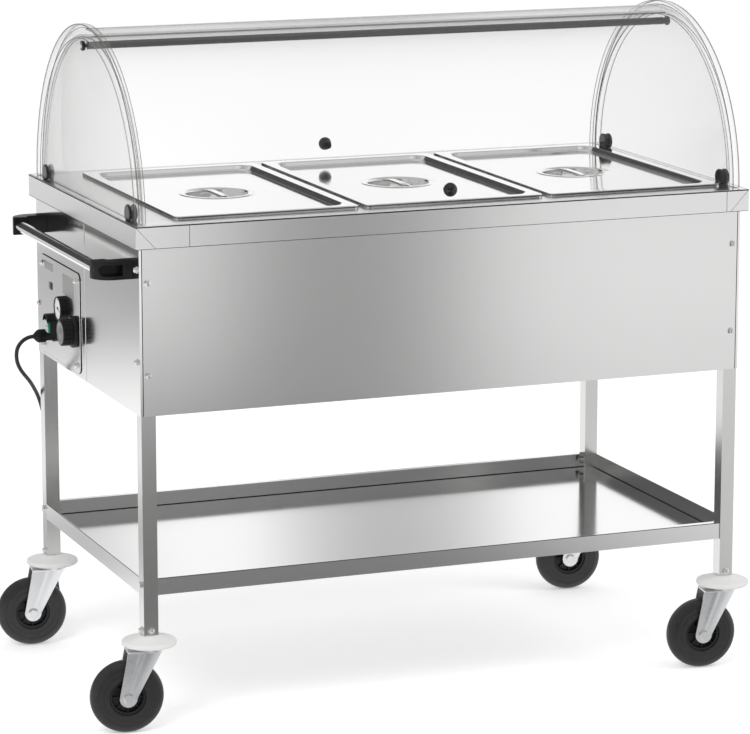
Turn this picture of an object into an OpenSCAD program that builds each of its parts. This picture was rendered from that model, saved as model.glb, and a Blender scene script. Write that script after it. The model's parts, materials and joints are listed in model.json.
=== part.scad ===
// Heated serving trolley: a water bath for three gastronorm pans on a wheeled frame,
// under a clear roll-top dome. Millimetres, +Z up, the front towards -Y, the controls at -X.

/* [Top] */
// Length of the top
top_l = 1110; // [1100:2:1300]
// Depth of the top, front to back
top_w = 624; // [620:2:700]
// Height of the top above the floor
top_z = 858; // [800:2:950]
// Height of the skirt round the top
skirt_h = 38; // [25:1:60]
// Overhang of the skirt past the body at each end
end_overhang = 9; // [3:0.5:14]
// Overhang of the skirt past the body at front and back
side_overhang = 13; // [4:0.5:20]
// Width of the shadow groove round the top
groove_w = 1.6; // [1:0.1:3]

/* [Body] */
// Thickness of the sheet metal
sheet = 1.2; // [0.8:0.1:2]
// Height of the body's lower edge above the floor
body_z = 540; // [500:2:600]
// Width of the return that each end panel folds round its corners
corner_fold = 4; // [2:0.5:8]
// Open line between a corner fold and the panel beside it
panel_gap = 0.8; // [0.4:0.1:2]
// Depth of the flange that carries the bottom plate
flange = 15; // [8:1:24]

/* [Frame] */
// Side of the square leg tube
leg = 25; // [20:1:32]
// Wall of the leg tube
leg_wall = 1.5; // [1:0.25:3]
// Height of the legs' lower ends above the floor
leg_z = 167; // [160:1:190]
// Height of the shelf's rim above the floor
shelf_z = 264; // [230:2:340]
// Height of the shelf's rim
rim_h = 28; // [20:1:45]
// Width of the lip folded in along the shelf's long rims
lip_w = 12; // [6:1:18]
// Set-back of the shelf's rims behind the legs' faces
rim_inset = 2; // [0.5:0.5:4]

/* [Pans and lids] */
// Number of pans, where the top has room for them
pan_count = 3; // [1:1:3]
// Outer length of a pan's rim
pan_l = 530; // [530:1:534]
// Outer width of a pan's rim
pan_w = 325; // [321:1:329]
// Depth of a pan below the top
pan_depth = 150; // [65:5:160]
// Wall of a pan
pan_wall = 1; // [0.8:0.1:1.5]
// Width of a pan's rim
pan_rim = 13; // [12:0.5:15]
// Gap between two pans' rims
pan_gap = 11; // [6:0.5:14]
// Distance from the top's left end to the first pan's rim
pan_start = 83; // [78:1:86]
// Height of a lid's rim above the pan's rim
lid_h = 4; // [3:0.25:8]
// Width of the raised rim round a lid
lid_rim = 19; // [17:0.5:30]
// Depth of a lid's sunk field below its rim
field_depth = 8; // [6:0.5:20]
// Diameter of the dished grip in a lid
dish_d = 108; // [80:1:140]
// Depth of the dished grip
dish_depth = 20; // [12:1:28]
// Width of the bar across the dish
grip_w = 20; // [14:1:30]
// Width of the ring pressed round the dish
dish_ring = 11; // [6:1:16]

/* [Water bath] */
// Depth of the bath below the top
bath_depth = 200; // [190:5:240]
// Wall of the bath
bath_wall = 1; // [0.8:0.1:2]
// Height of the rails between the pans
rail_h = 12; // [8:1:20]
// Diameter of the heating rod
rod_d = 8.5; // [6.5:0.5:12]
// Distance between the two runs of the heating rod
rod_gap = 160; // [100:5:300]
// Height of the heating rod above the bath's floor
rod_lift = 12; // [8:1:20]

/* [Dome] */
// Distance from the feet of the dome's arched ends to the top's front and back edges
dome_set = 15; // [8:1:32]
// Radial depth of the guide rim on each arched end
rim_depth = 25; // [24:0.5:32]
// Width of the guide rim along the trolley
rim_w = 13; // [11:0.5:16]
// Distance from the guide rim's outer face to the end of the top
dome_inset = 10; // [7:0.5:14]
// Thickness of an arched end's wall
end_wall = 5; // [4:0.5:6]
// Thickness of a flap
flap_t = 3; // [2:0.25:4]
// Clearance of a flap in its guide groove
flap_gap = 0.5; // [0.3:0.05:0.8]
// Depth of the guide grooves
groove_depth = 4; // [3:0.25:5]
// Open space between the front flap and the back flap, which pass over each other
flap_space = 8; // [7:0.25:8.5]
// Angle that each flap spans round the arch
flap_span = 92; // [90:0.5:93]
// Angle from the top to a flap's lower edge when it is shut
flap_start = 0.8; // [0.6:0.1:1.5]
// Angle from the top to the middle of a flap's knob
knob_angle = 5.5; // [5:0.25:7]
// Diameter of a flap's knob
knob_d = 24; // [18:1:30]
// Reach of a flap's knob
knob_reach = 24; // [16:1:30]
// Diameter of the tie tube between the arched ends
tie_d = 13; // [8:0.5:16]
// Distance from the top of the arches down to the middle of the tie tube
tie_drop = 36; // [33:1:60]
// Diameter of the clamps at the arched ends' feet
clamp_d = 29; // [22:1:32]
// Distance from an arched end's foot in to the middle of its clamp
clamp_set = 57; // [52:1:72]

/* [Handle] */
// Reach of the push handle past the end panel
handle_reach = 62; // [56:1:100]
// Diameter of the handle's tube
handle_d = 20; // [16:0.5:22]
// Distance from the body's front and back faces in to the handle's two elbows
handle_set = 36; // [29:1:150]
// Length of an elbow along the tube
elbow_l = 35; // [32:1:50]
// Thickness of an elbow's arm
arm_w = 28; // [24:1:32]
// Height of an elbow
arm_h = 31; // [28:1:40]
// Distance from the skirt's lower edge down to the elbows
arm_drop = 25; // [10:1:40]

/* [Castors] */
// Diameter of a wheel
wheel_d = 125; // [100:1:128]
// Width of a wheel's tyre
wheel_w = 27; // [22:1:30]
// Diameter of a wheel's hub
hub_d = 62; // [50:1:80]
// Trail of a wheel behind its swivel axis
trail = 39; // [25:1:42]
// Angle of the castors from straight trailing, seen from above
castor_yaw = -8; // [-20:1:20]
// Diameter of the wheel's axle
axle_d = 10; // [8:0.5:12]
// Diameter of the swivel's kingpin
kingpin_d = 12; // [8:0.5:14]
// Running clearance of a shaft in its hole
run_gap = 0.06; // [0.02:0.01:0.09]
// Diameter of the white bumper disc
bumper_d = 92; // [80:1:120]
// Height of the bumper's rim
bumper_h = 9; // [6:0.5:12]
// Height of the bumper's cone
cone_h = 9; // [6:0.5:9]

/* [Controls] */
// Diameter of the thermostat knob's flange
dial_flange_d = 55; // [45:1:58]
// Diameter of the thermostat knob's grip
dial_grip_d = 47; // [35:1:50]
// Reach of the thermostat knob from the cover
dial_reach = 27; // [20:1:35]
// Diameter of the thermometer
gauge_d = 43; // [36:1:50]
// Reach of the thermometer from the cover
gauge_reach = 12.5; // [8:0.5:18]
// Reach of the cable gland from the cover
gland_reach = 28; // [22:1:34]
// Diameter of the mains lead
cord_d = 7; // [6:0.25:8]

/* [Hidden] */
$fn = 48;

// Small lengths that keep cuts open and separate pieces apart
eps = 0.01;
cut = 1;
seat_gap = 0.1;
wall_set = 3;

// Body and frame
body_l = top_l - 2 * end_overhang;
body_w = top_w - 2 * side_overhang;
leg_x = body_l / 2 - sheet - leg / 2;
leg_y = body_w / 2 - sheet - leg / 2;
under_top = top_z - sheet;
skirt_z = top_z - skirt_h;
front_l = body_l - 2 * (corner_fold + panel_gap);
inner_l = body_l - 2 * sheet;
inner_w = body_w - 2 * sheet;
seam_y = 7;
seam = 0.6;
seam_depth = 0.4;
mitre_reach = 34;

// Screws
screw_r = 2;
screw_hole_r = screw_r + seat_gap;
screw_len = 6;
head_r = 4.5;
head_h = 2;
panel_screw_z = [skirt_z - 58, body_z + 68];
side_screw_z = [skirt_z - 37, body_z + 89];
foot_screw_z = leg_z + 8;
shelf_bolt_r = 3;
shelf_bolt_z = shelf_z - 12;

// Shelf
shelf_out_y = inner_w / 2 - rim_inset;
shelf_out_x = inner_l / 2;
leg_in_x = leg_x - leg / 2;
leg_in_y = leg_y - leg / 2;
shelf_floor_z = shelf_z - rim_h;
tab_t = 1.5;

// Pans and lids, from left to right, as many as the dome's ends leave room for
pan_pitch = pan_w + pan_gap;
pan_room = top_l - pan_start - dome_inset - wall_set - end_wall + pan_gap;
pans = max(min(pan_count, floor(pan_room / pan_pitch + eps)), 1);
pan_x0 = -top_l / 2 + pan_start + pan_w / 2;
function pan_x(i) = pan_x0 + i * pan_pitch;
pan_body_l = pan_l - 2 * pan_rim - 4;
pan_body_w = pan_w - 2 * pan_rim - 3;
pan_corner = 28;
rim_corner = 10;
lid_z = top_z + pan_wall;
lid_top = lid_z + lid_h;
lid_t = 0.8;
lid_corner = 26;
field_z = lid_top - field_depth;
dish_z = field_z - dish_depth;
bead_h = 1;

// Opening in the top and the bath below it
open_x0 = pan_x(0) - pan_w / 2 + pan_rim - 1;
open_x1 = pan_x(pans - 1) + pan_w / 2 - pan_rim + 1;
open_y = pan_l / 2 - pan_rim + 1;
bath_z = top_z - bath_depth;
rod_z = bath_z + rod_lift;
rod_r = rod_d / 2;
rod_end = 34;
rod_nut_r = 9;
rod_nut_h = 5;
rail_w = pan_gap + 2 * pan_rim - 14;

// Dome, seen from the left end: angles run from the front foot up over the arch to the back
dome_r = top_w / 2 - dome_set;
dome_x = top_l / 2 - dome_inset;
rim_in = dome_x - rim_w;
wall_x1 = dome_x - wall_set;
wall_x0 = wall_x1 - end_wall;
arch_r = dome_r - rim_depth;
groove_edge = 7;
front_flap_r = dome_r - groove_edge - flap_gap;
back_flap_r = front_flap_r - flap_t - flap_space;
flap_end = rim_in + groove_depth - flap_gap;
knob_stem_r = 2;
knob_nut_r = 5;
knob_nut_h = 2;
tie_z = top_z + dome_r - tie_drop;
tie_bolt_r = 3;
tie_cap_r = 8.5;
tie_cap_h = 6;
clamp_t = 5;
clamp_y = dome_r - clamp_set;
clamp_lift = 12;

// Handle
arm_top = skirt_z - arm_drop;
arm_z = arm_top - arm_h / 2;
handle_x = -body_l / 2 - handle_reach;
handle_tube_x = handle_x + handle_d / 2 + 2.5;
elbow_y = body_w / 2 - handle_set;
elbow_r = elbow_l - 1;
handle_socket = 14;
grip_socket_w = handle_d + 5;

// Castors
wheel_z = wheel_d / 2;
bumper_z = leg_z - cone_h - bumper_h;
fork_t = 2.5;
fork_gap = wheel_w + 7;
fork_plate_t = 4;
fork_plate_z = bumper_z - 9;
fork_front = 20;
fork_back = 39;
fork_eye_r = 15;
fork_neck_r = 22;
hub_len = wheel_w + 3;
pin_head_r = 9;
pin_head_h = 4;
plug_len = 30;
tyre_edge = 8;

// Controls on the left end panel: distance back from the centre line, then height
cover_t = 2;
cover_start = 35;
cover_l = 235;
cover_lift = 7;
cover_h = 175;
cover_y = [cover_start, cover_start + cover_l];
cover_z = [body_z + cover_lift, body_z + cover_lift + cover_h];
cover_corner = 12;
cover_x = -body_l / 2 - cover_t;
window_y = [58, 250];
window_z = [body_z + 26, body_z + 162];
cover_screw_y = [52, 256];
cover_screw_z = [body_z + 19, body_z + 167];
knob_pos = [65, body_z + 77];
gauge_pos = [130, body_z + 107];
switch_pos = [198, body_z + 66];
gland_pos = [227, body_z + 41];
lamp_pos = [209, body_z + 133];
lamp_w = 17;
lamp_h = 13;
badge_l = 52;
badge_h = 13;
badge_pos = [193, body_z + 160];
label_l = 68;
label_h = 36;
label_pos = [66, body_z + 132];
plate_t = 0.6;
spindle_r = 3;
gauge_stem_r = 14;
switch_h = 40;
switch_w = 27;
switch_reach = 8;
hood_reach = 15;
rocker_w = 16;
rocker_half = 12;
rocker_tilt = 8;
rocker_x = cover_x + 4;
rocker_front = 17;
gland_r = 12;
gland_stem_r = 8;
cord_r = cord_d / 2;

// Thermostat and terminal block behind the left end panel
thermostat_depth = 34;
thermostat_w = 42;
thermostat_h = 40;
capillary_r = 1.2;
bulb_r = 3.2;
bulb_l = 90;
terminal_set = 16;
terminal_y = 110;
terminal_w = 30;
terminal_l = 80;
terminal_h = 22;

// Frame of the whole model: its middle lies halfway between its left and right ends
tyre_reach = (wheel_d / 2 - tyre_edge) * cos(castor_yaw)
    + (wheel_w / 2 - tyre_edge) * abs(sin(castor_yaw)) + tyre_edge;
left_end = min(handle_x, -leg_x - trail * cos(castor_yaw) - tyre_reach);
right_end = max(top_l / 2, leg_x + bumper_d / 2);
x_shift = -(left_end + right_end) / 2;

// The lead's way from the gland to its coil: out, down behind the back left leg, to the floor
gland_tip = [cover_x - gland_reach, gland_pos[0], gland_pos[1]];
lead_points = [
    gland_tip, [-584.6, 227.3, 579.7], [-592.5, 228.1, 576.1], [-598.9, 229.4, 570.3],
    [-603.4, 231.1, 563], [-605.4, 232.9, 554.7], [-604.7, 237.1, 542], [-600.6, 243.8, 529.6],
    [-593.6, 252.7, 517.8], [-585.1, 262.7, 507.1], [-576.3, 272.9, 497.3], [-568.2, 283, 488],
    [-557.6, 298, 474], [-546.5, 312.5, 456.5], [-537, 323.7, 435], [-529, 331, 407],
    [-523.5, 336.6, 380], [-518, 343, 345], [-513, 352.5, 290], [-509, 362, 235],
    [-505, 371.5, 185], [-500, 383.5, 134], [-494, 395, 92], [-488.4, 402.6, 63],
    [-484.9, 406.4, 45], [-484, 407, 33], [-485.4, 407, 23.9], [-489.6, 407, 15.7],
    [-496.1, 407, 9.2], [-504.3, 407, 5], [-513.4, 407, cord_r + 0.1]
];
coil_c = [-525, 457.5];
coil_r = 50.5;
coil_step = 7.7;
coil_in = 2.5;
coil_out = 2.25;
coil_rise = 7.6;
coil_rings = 24;
coil_sides = 6;
tail_points = [
    [-573.8, 466, 11.1], [-574, 482, 11.5], [-574, 498, 12.6], [-572.5, 507.3, 13.6],
    [-568.3, 515.6, 14.8], [-561.6, 522.3, 16.1], [-553.3, 526.5, 17.4], [-544, 528, 18.4],
    [-534, 528, 18.6]
];
plug_r = 18.6;

// A box from its lowest to its highest corner
module block(lo, hi) {
    translate(lo) cube(hi - lo);
}

// A cylinder along X from x0 to x1
module rod_x(x0, x1, y, z, r) {
    translate([x0, y, z]) rotate([0, 90, 0]) cylinder(r = r, h = x1 - x0);
}

// A cylinder along Y from y0 to y1
module rod_y(x, y0, y1, z, r) {
    translate([x, y0, z]) rotate([-90, 0, 0]) cylinder(r = r, h = y1 - y0);
}

// A flat rectangle with round corners, centred
module round_rect(l, w, r) {
    square([l - 2 * r, w], center = true);
    square([l, w - 2 * r], center = true);
    for (sx = [-1, 1], sy = [-1, 1])
        translate([sx * (l / 2 - r), sy * (w / 2 - r)]) circle(r = r);
}

// A solid slab of rounded plan between two heights
module round_slab(l, w, r, z0, z1) {
    translate([0, 0, z0]) linear_extrude(z1 - z0) round_rect(l, w, r);
}

// Puts one thing at each of the four legs
module at_legs() {
    for (sx = [-1, 1], sy = [-1, 1])
        translate([sx * leg_x, sy * leg_y, 0]) scale_sign(sx, sy) children();
}

// Mirrors its child so that +X and +Y point outwards at a corner
module scale_sign(sx, sy) {
    mirror([sx < 0 ? 1 : 0, 0, 0]) mirror([0, sy < 0 ? 1 : 0, 0]) children();
}

// Moves a piece from the top's own middle to the middle of the whole model
module place() {
    translate([x_shift, 0, 0]) children();
}

// Frame

// A square tube with holes for its panel screws, foot screws and shelf bolt
module leg_tube(sx, sy) {
    color("lightgrey") translate([sx * leg_x, sy * leg_y, 0]) scale_sign(sx, sy)
        difference() {
            block([-leg / 2, -leg / 2, leg_z], [leg / 2, leg / 2, under_top]);
            block(
                [-leg / 2 + leg_wall, -leg / 2 + leg_wall, leg_z - cut],
                [leg / 2 - leg_wall, leg / 2 - leg_wall, under_top + cut]
            );
            for (z = panel_screw_z) rod_y(0, leg / 2 - leg_wall - cut, leg / 2 + cut, z, screw_hole_r);
            for (z = side_screw_z) rod_x(leg / 2 - leg_wall - cut, leg / 2 + cut, 0, z, screw_hole_r);
            rod_y(0, leg / 2 - leg_wall - cut, leg / 2 + cut, foot_screw_z, screw_hole_r);
            rod_x(leg / 2 - leg_wall - cut, leg / 2 + cut, 0, foot_screw_z, screw_hole_r);
            rod_x(-leg / 2 - cut, leg / 2 + cut, 0, shelf_bolt_z, shelf_bolt_r + seat_gap);
        }
}

// A tray notched round the legs, with upturned rims, lips along front and back, and bolting tabs
module shelf_tray() {
    color("gainsboro") {
        difference() {
            block(
                [-shelf_out_x, -shelf_out_y, shelf_floor_z - sheet],
                [shelf_out_x, shelf_out_y, shelf_floor_z]
            );
            for (sx = [-1, 1], sy = [-1, 1])
                translate([sx * (leg_x + leg / 2), sy * (leg_y + leg / 2), shelf_floor_z])
                    cube([2 * leg, 2 * leg, 4 * sheet], center = true);
        }
        for (sy = [-1, 1]) scale_sign(1, sy) {
            block(
                [-leg_in_x, shelf_out_y - sheet, shelf_floor_z],
                [leg_in_x, shelf_out_y, shelf_z]
            );
            block(
                [-leg_in_x, shelf_out_y - lip_w, shelf_z - sheet],
                [leg_in_x, shelf_out_y - sheet, shelf_z]
            );
        }
        for (sx = [-1, 1]) scale_sign(sx, 1) {
            block([shelf_out_x - sheet, -leg_in_y, shelf_floor_z], [shelf_out_x, leg_in_y, shelf_z]);
            for (sy = [-1, 1]) scale_sign(1, sy)
                difference() {
                    block(
                        [leg_in_x - tab_t, leg_in_y, shelf_floor_z],
                        [leg_in_x, shelf_out_y - sheet, shelf_z - sheet]
                    );
                    rod_x(leg_in_x - tab_t - cut, leg_in_x + cut, leg_y, shelf_bolt_z,
                        shelf_bolt_r + seat_gap);
                }
        }
    }
}

// The bolts that pass through the legs and the tray's tabs, each with its nut
module shelf_bolts() {
    color("dimgray") at_legs() {
        rod_x(-leg / 2 - tab_t - 5, leg / 2 + eps, 0, shelf_bolt_z, shelf_bolt_r);
        rod_x(leg / 2, leg / 2 + 4, 0, shelf_bolt_z, shelf_bolt_r + 2.5);
        translate([-leg / 2 - tab_t - 5, 0, shelf_bolt_z]) rotate([0, 90, 0])
            cylinder(r = shelf_bolt_r + 2.8, h = 5 - eps, $fn = 6);
    }
}

// Body panels

// A long panel at the front; the back one is its mirror image
module long_panel() {
    color("silver") difference() {
        union() {
            block(
                [-front_l / 2, body_w / 2 - sheet, body_z],
                [front_l / 2, body_w / 2, under_top]
            );
            block(
                [-leg_in_x, body_w / 2 - flange, body_z],
                [leg_in_x, body_w / 2 - sheet, body_z + sheet]
            );
        }
        for (sx = [-1, 1], z = panel_screw_z)
            rod_y(sx * leg_x, body_w / 2 - sheet - cut, body_w / 2 + cut, z, screw_hole_r);
    }
}

// An end panel with its folded edges, and a seam down its middle
module end_panel() {
    x = body_l / 2;
    y = body_w / 2;
    block([x - sheet, -y, body_z], [x, y, under_top]);
    for (sy = [-1, 1]) scale_sign(1, sy)
        block([x - corner_fold, y - sheet, body_z], [x - sheet, y, under_top]);
    block([x - flange, -leg_in_y, body_z], [x - sheet, leg_in_y, body_z + sheet]);
}

// What both end panels have cut out: screw holes and the seam's line
module end_cuts() {
    x = body_l / 2;
    for (sy = [-1, 1], z = side_screw_z)
        rod_x(x - sheet - cut, x + cut, sy * leg_y, z, screw_hole_r);
    block([x - seam_depth, seam_y - seam, body_z - cut], [x + cut, seam_y, skirt_z - 2]);
}

module left_panel() {
    color("silver") difference() {
        scale_sign(-1, 1) difference() {
            end_panel();
            end_cuts();
        }
        block(
            [-body_l / 2 - cut, window_y[0], window_z[0]],
            [-body_l / 2 + sheet + cut, window_y[1], window_z[1]]
        );
        for (y = cover_screw_y, z = cover_screw_z)
            rod_x(-body_l / 2 - cut, -body_l / 2 + sheet + cut, y, z, screw_hole_r);
    }
}

module right_panel() {
    color("silver") difference() {
        end_panel();
        end_cuts();
    }
}

// The plate that closes the body from below, resting on the panels' flanges
module bottom_plate() {
    color("silver") difference() {
        block(
            [-inner_l / 2, -inner_w / 2, body_z + sheet],
            [inner_l / 2, inner_w / 2, body_z + 2 * sheet]
        );
        for (sx = [-1, 1], sy = [-1, 1])
            translate([sx * (leg_x + leg / 2), sy * (leg_y + leg / 2), body_z + 2 * sheet])
                cube([2 * leg, 2 * leg, 6 * sheet], center = true);
    }
}

// A domed screw pointing along +Y, its head's seat at the origin
module screw() {
    rotate([90, 0, 0]) {
        cylinder(r = head_r, h = head_h);
        translate([0, 0, head_h]) cylinder(r1 = head_r - 1, r2 = head_r - 2.6, h = 2.6, $fn = 24);
    }
    rotate([-90, 0, 0]) cylinder(r = screw_r, h = screw_len);
}

// Every small screw on the outside of the body, legs and cover
module body_screws() {
    color("dimgray") {
        for (sy = [0, 180], sx = [-1, 1], z = panel_screw_z) rotate(sy)
            translate([sx * leg_x, -body_w / 2, z]) screw();
        for (turn = [-90, 90], sy = [-1, 1], z = side_screw_z) rotate(turn)
            translate([sy * leg_y, -body_l / 2, z]) screw();
        for (turn = [0, 180], sx = [-1, 1]) rotate(turn)
            translate([sx * leg_x, -leg_y - leg / 2, foot_screw_z]) screw();
        for (turn = [-90, 90], sy = [-1, 1]) rotate(turn)
            translate([sy * leg_y, -leg_x - leg / 2, foot_screw_z]) screw();
        for (y = cover_screw_y, z = cover_screw_z)
            translate([cover_x, y, z]) rotate(-90) screw();
    }
}

// Top, bath and pans

// The top sheet with its skirt, the opening for the pans, the shadow groove and the welded seams
module top_frame() {
    seams_x = [open_x0 - 3, open_x1];
    color("whitesmoke") difference() {
        block([-top_l / 2, -top_w / 2, skirt_z], [top_l / 2, top_w / 2, top_z]);
        block(
            [-top_l / 2 + sheet, -top_w / 2 + sheet, skirt_z - cut],
            [top_l / 2 - sheet, top_w / 2 - sheet, under_top]
        );
        block([open_x0, -open_y, skirt_z - cut], [open_x1, open_y, top_z + cut]);
        difference() {
            block(
                [-top_l / 2 + sheet, -top_w / 2 + sheet, top_z - sheet / 2],
                [top_l / 2 - sheet, top_w / 2 - sheet, top_z + cut]
            );
            block(
                [-top_l / 2 + sheet + groove_w, -top_w / 2 + sheet + groove_w, top_z - sheet],
                [top_l / 2 - sheet - groove_w, top_w / 2 - sheet - groove_w, top_z + 2 * cut]
            );
        }
        for (sy = [-1, 1]) scale_sign(1, sy) {
            for (x = seams_x)
                block([x, top_w / 2 - seam_depth, skirt_z - cut], [x + seam, top_w / 2 + cut, top_z]);
            for (sx = [-1, 1]) scale_sign(sx, 1)
                translate([top_l / 2 - 1, top_w / 2 - seam_depth, top_z - 1])
                    rotate([0, atan2(skirt_h, mitre_reach) + 180, 0])
                        translate([-1, 0, 0]) cube([norm([skirt_h, mitre_reach]) + 2, cut, seam]);
        }
    }
}

// The tank that holds the water, with holes for the heating rod's two ends
module water_bath() {
    color("lightsteelblue") difference() {
        block(
            [open_x0 - bath_wall, -open_y - bath_wall, bath_z - bath_wall],
            [open_x1 + bath_wall, open_y + bath_wall, under_top]
        );
        block([open_x0, -open_y, bath_z], [open_x1, open_y, under_top + cut]);
        for (sy = [-1, 1])
            rod_x(open_x0 - bath_wall - cut, open_x0 + cut, sy * rod_gap / 2, rod_z, rod_r + seat_gap);
    }
}

// The cross rails that carry the pans' long rims, flush with the top
module pan_rails() {
    color("lightgrey")
        for (i = [1 : max(pans - 1, 1)]) if (i < pans) {
            x = pan_x(i) - pan_pitch / 2;
            difference() {
                block([x - rail_w / 2, -open_y, top_z - rail_h], [x + rail_w / 2, open_y, top_z]);
                block(
                    [x - rail_w / 2 + 2, -open_y - cut, top_z - rail_h - cut],
                    [x + rail_w / 2 - 2, open_y + cut, top_z - 2]
                );
            }
        }
}

// A hairpin heating rod on three feet, its ends clamped in the bath's left wall
module heating_rod() {
    turn_x = open_x1 - rod_gap / 2 - 30;
    color("slategray") {
        for (sy = [-1, 1]) {
            rod_x(open_x0 - rod_end, turn_x, sy * rod_gap / 2, rod_z, rod_r);
            rod_x(open_x0 - bath_wall - rod_nut_h, open_x0 - bath_wall, sy * rod_gap / 2, rod_z, rod_nut_r);
            rod_x(open_x0, open_x0 + rod_nut_h, sy * rod_gap / 2, rod_z, rod_nut_r);
            translate([turn_x - 60, sy * rod_gap / 2, bath_z])
                cylinder(r = rod_r - 1, h = rod_lift - rod_r / 2);
        }
        translate([turn_x, 0, rod_z]) rotate(-90) rotate_extrude(angle = 180)
            translate([rod_gap / 2, 0]) circle(r = rod_r);
    }
}

// A pan, its rim resting on the top and the rails
module pan(i) {
    if (i < pans) color("whitesmoke") translate([pan_x(i), 0, 0]) difference() {
        union() {
            round_slab(pan_w, pan_l, rim_corner, top_z, top_z + pan_wall);
            round_slab(pan_body_w, pan_body_l, pan_corner, top_z - pan_depth, top_z);
        }
        round_slab(
            pan_body_w - 2 * pan_wall, pan_body_l - 2 * pan_wall, pan_corner - pan_wall,
            top_z - pan_depth + pan_wall, top_z + pan_wall + cut
        );
    }
}

// A lid: a raised rim, a sunk field, and a round dish with a bar across it to hold
module lid(i) {
    field_w = pan_w - 2 * lid_rim;
    field_l = pan_l - 2 * lid_rim;
    if (i < pans) color("white") translate([pan_x(i), 0, 0]) {
        difference() {
            union() {
                round_slab(pan_w, pan_l, rim_corner, lid_z, lid_top);
                round_slab(field_w, field_l, lid_corner, field_z - lid_t, lid_top);
                translate([0, 0, dish_z - lid_t])
                    cylinder(d = dish_d + 2 * lid_t, h = field_z - dish_z);
            }
            round_slab(
                field_w - 2 * lid_t, field_l - 2 * lid_t, lid_corner - lid_t,
                field_z, lid_top + cut
            );
            difference() {
                round_slab(
                    pan_w - 2 * lid_t, pan_l - 2 * lid_t, rim_corner - lid_t,
                    lid_z - cut, lid_top - lid_t
                );
                round_slab(field_w, field_l, lid_corner, field_z - 2 * lid_t, lid_top);
            }
            translate([0, 0, dish_z]) cylinder(d = dish_d, h = dish_depth + cut);
        }
        translate([0, 0, field_z]) difference() {
            cylinder(d = dish_d + 2 * dish_ring, h = bead_h);
            translate([0, 0, -cut]) cylinder(d = dish_d, h = bead_h + 2 * cut);
        }
        intersection() {
            block(
                [-grip_w / 2, -dish_d / 2 - lid_t, field_z - 4],
                [grip_w / 2, dish_d / 2 + lid_t, field_z]
            );
            translate([0, 0, dish_z]) cylinder(d = dish_d + lid_t, h = dish_depth);
        }
    }
}

// Dome

// A ring sector round the arch's axis, from angle a0 to a1, between two radii and two ends
module arch(r0, r1, x0, x1, a0, a1) {
    translate([x0, 0, top_z]) rotate([90, 0, 90]) mirror([1, 0, 0])
        difference() {
            sector(r1, x1 - x0, a0, a1);
            translate([0, 0, -cut]) cylinder(r = r0, h = x1 - x0 + 2 * cut, $fn = 144);
        }
}

// A solid sector of a cylinder between two angles that are under 180 degrees apart
module sector(r, h, a0, a1) {
    reach = 2 * r;
    intersection() {
        cylinder(r = r, h = h, $fn = 144);
        linear_extrude(h) polygon([
            [0, 0], reach * [cos(a0), sin(a0)], reach * [cos((a0 + a1) / 2), sin((a0 + a1) / 2)],
            reach * [cos(a1), sin(a1)]
        ]);
    }
}

// Carries a thing at the origin, pointing along +Z, to an angle and radius on the arch
module on_arch(angle, r) {
    translate([0, 0, top_z]) rotate([90 - angle, 0, 0]) translate([0, 0, r]) children();
}

// The half ring above the top
module half_ring(r0, r1, x0, x1) {
    intersection() {
        difference() {
            rod_x(x0, x1, 0, top_z, r1, $fn = 144);
            if (r0 > 0) rod_x(x0 - cut, x1 + cut, 0, top_z, r0, $fn = 144);
        }
        block([x0, -r1 - cut, top_z], [x1, r1 + cut, top_z + r1 + cut]);
    }
}

// A clear arched end: a flat wall with a thick guide rim, and a groove in it for each flap
module dome_end() {
    color("lightcyan", 0.5) difference() {
        union() {
            half_ring(0, arch_r + 1, wall_x0, wall_x1);
            half_ring(arch_r, dome_r, rim_in, dome_x);
        }
        for (r = [front_flap_r, back_flap_r])
            half_ring(r - flap_t - flap_gap, r + flap_gap, rim_in - cut, rim_in + groove_depth);
        rod_x(wall_x0 - cut, wall_x1 + cut, 0, tie_z, tie_bolt_r + seat_gap);
        for (sy = [-1, 1])
            rod_x(wall_x0 - cut, wall_x1 + cut, sy * clamp_y, top_z + clamp_lift, tie_bolt_r + seat_gap);
    }
}

module dome_end_right() {
    dome_end();
}

module dome_end_left() {
    scale_sign(-1, 1) dome_end();
}

// The D-shaped clamps on both sides of each arched end's feet, and the tie tube's end bolts
module dome_clamps() {
    color("black") for (sx = [-1, 1]) scale_sign(sx, 1) {
        for (sy = [-1, 1], x = [wall_x0 - clamp_t, wall_x1])
            intersection() {
                rod_x(x, x + clamp_t, sy * clamp_y, top_z + clamp_lift, clamp_d / 2);
                block([x, -top_w, top_z], [x + clamp_t, top_w, top_z + clamp_d * 2]);
            }
        for (sy = [-1, 1])
            rod_x(wall_x0 - eps, wall_x1 + eps, sy * clamp_y, top_z + clamp_lift, tie_bolt_r);
        rod_x(wall_x0 - 8, wall_x1 + eps, 0, tie_z, tie_bolt_r);
        rod_x(wall_x1, wall_x1 + tie_cap_h, 0, tie_z, tie_cap_r);
    }
}

// The tube that ties the arched ends together
module tie_tube() {
    color("dimgray") difference() {
        rod_x(-wall_x0, wall_x0, 0, tie_z, tie_d / 2);
        for (sx = [-1, 1]) scale_sign(sx, 1)
            rod_x(wall_x0 - 10, wall_x0 + cut, 0, tie_z, tie_bolt_r + seat_gap);
    }
}

// A flap bent round the arch, of outer radius r, drilled for its knob; the front one as drawn
module flap(r, back) {
    color("lightcyan", 0.4) scale_sign(1, back ? -1 : 1) difference() {
        arch(r - flap_t, r, -flap_end, flap_end, flap_start, flap_start + flap_span);
        on_arch(knob_angle, r - 20) cylinder(r = knob_stem_r + seat_gap, h = 40);
    }
}

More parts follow.
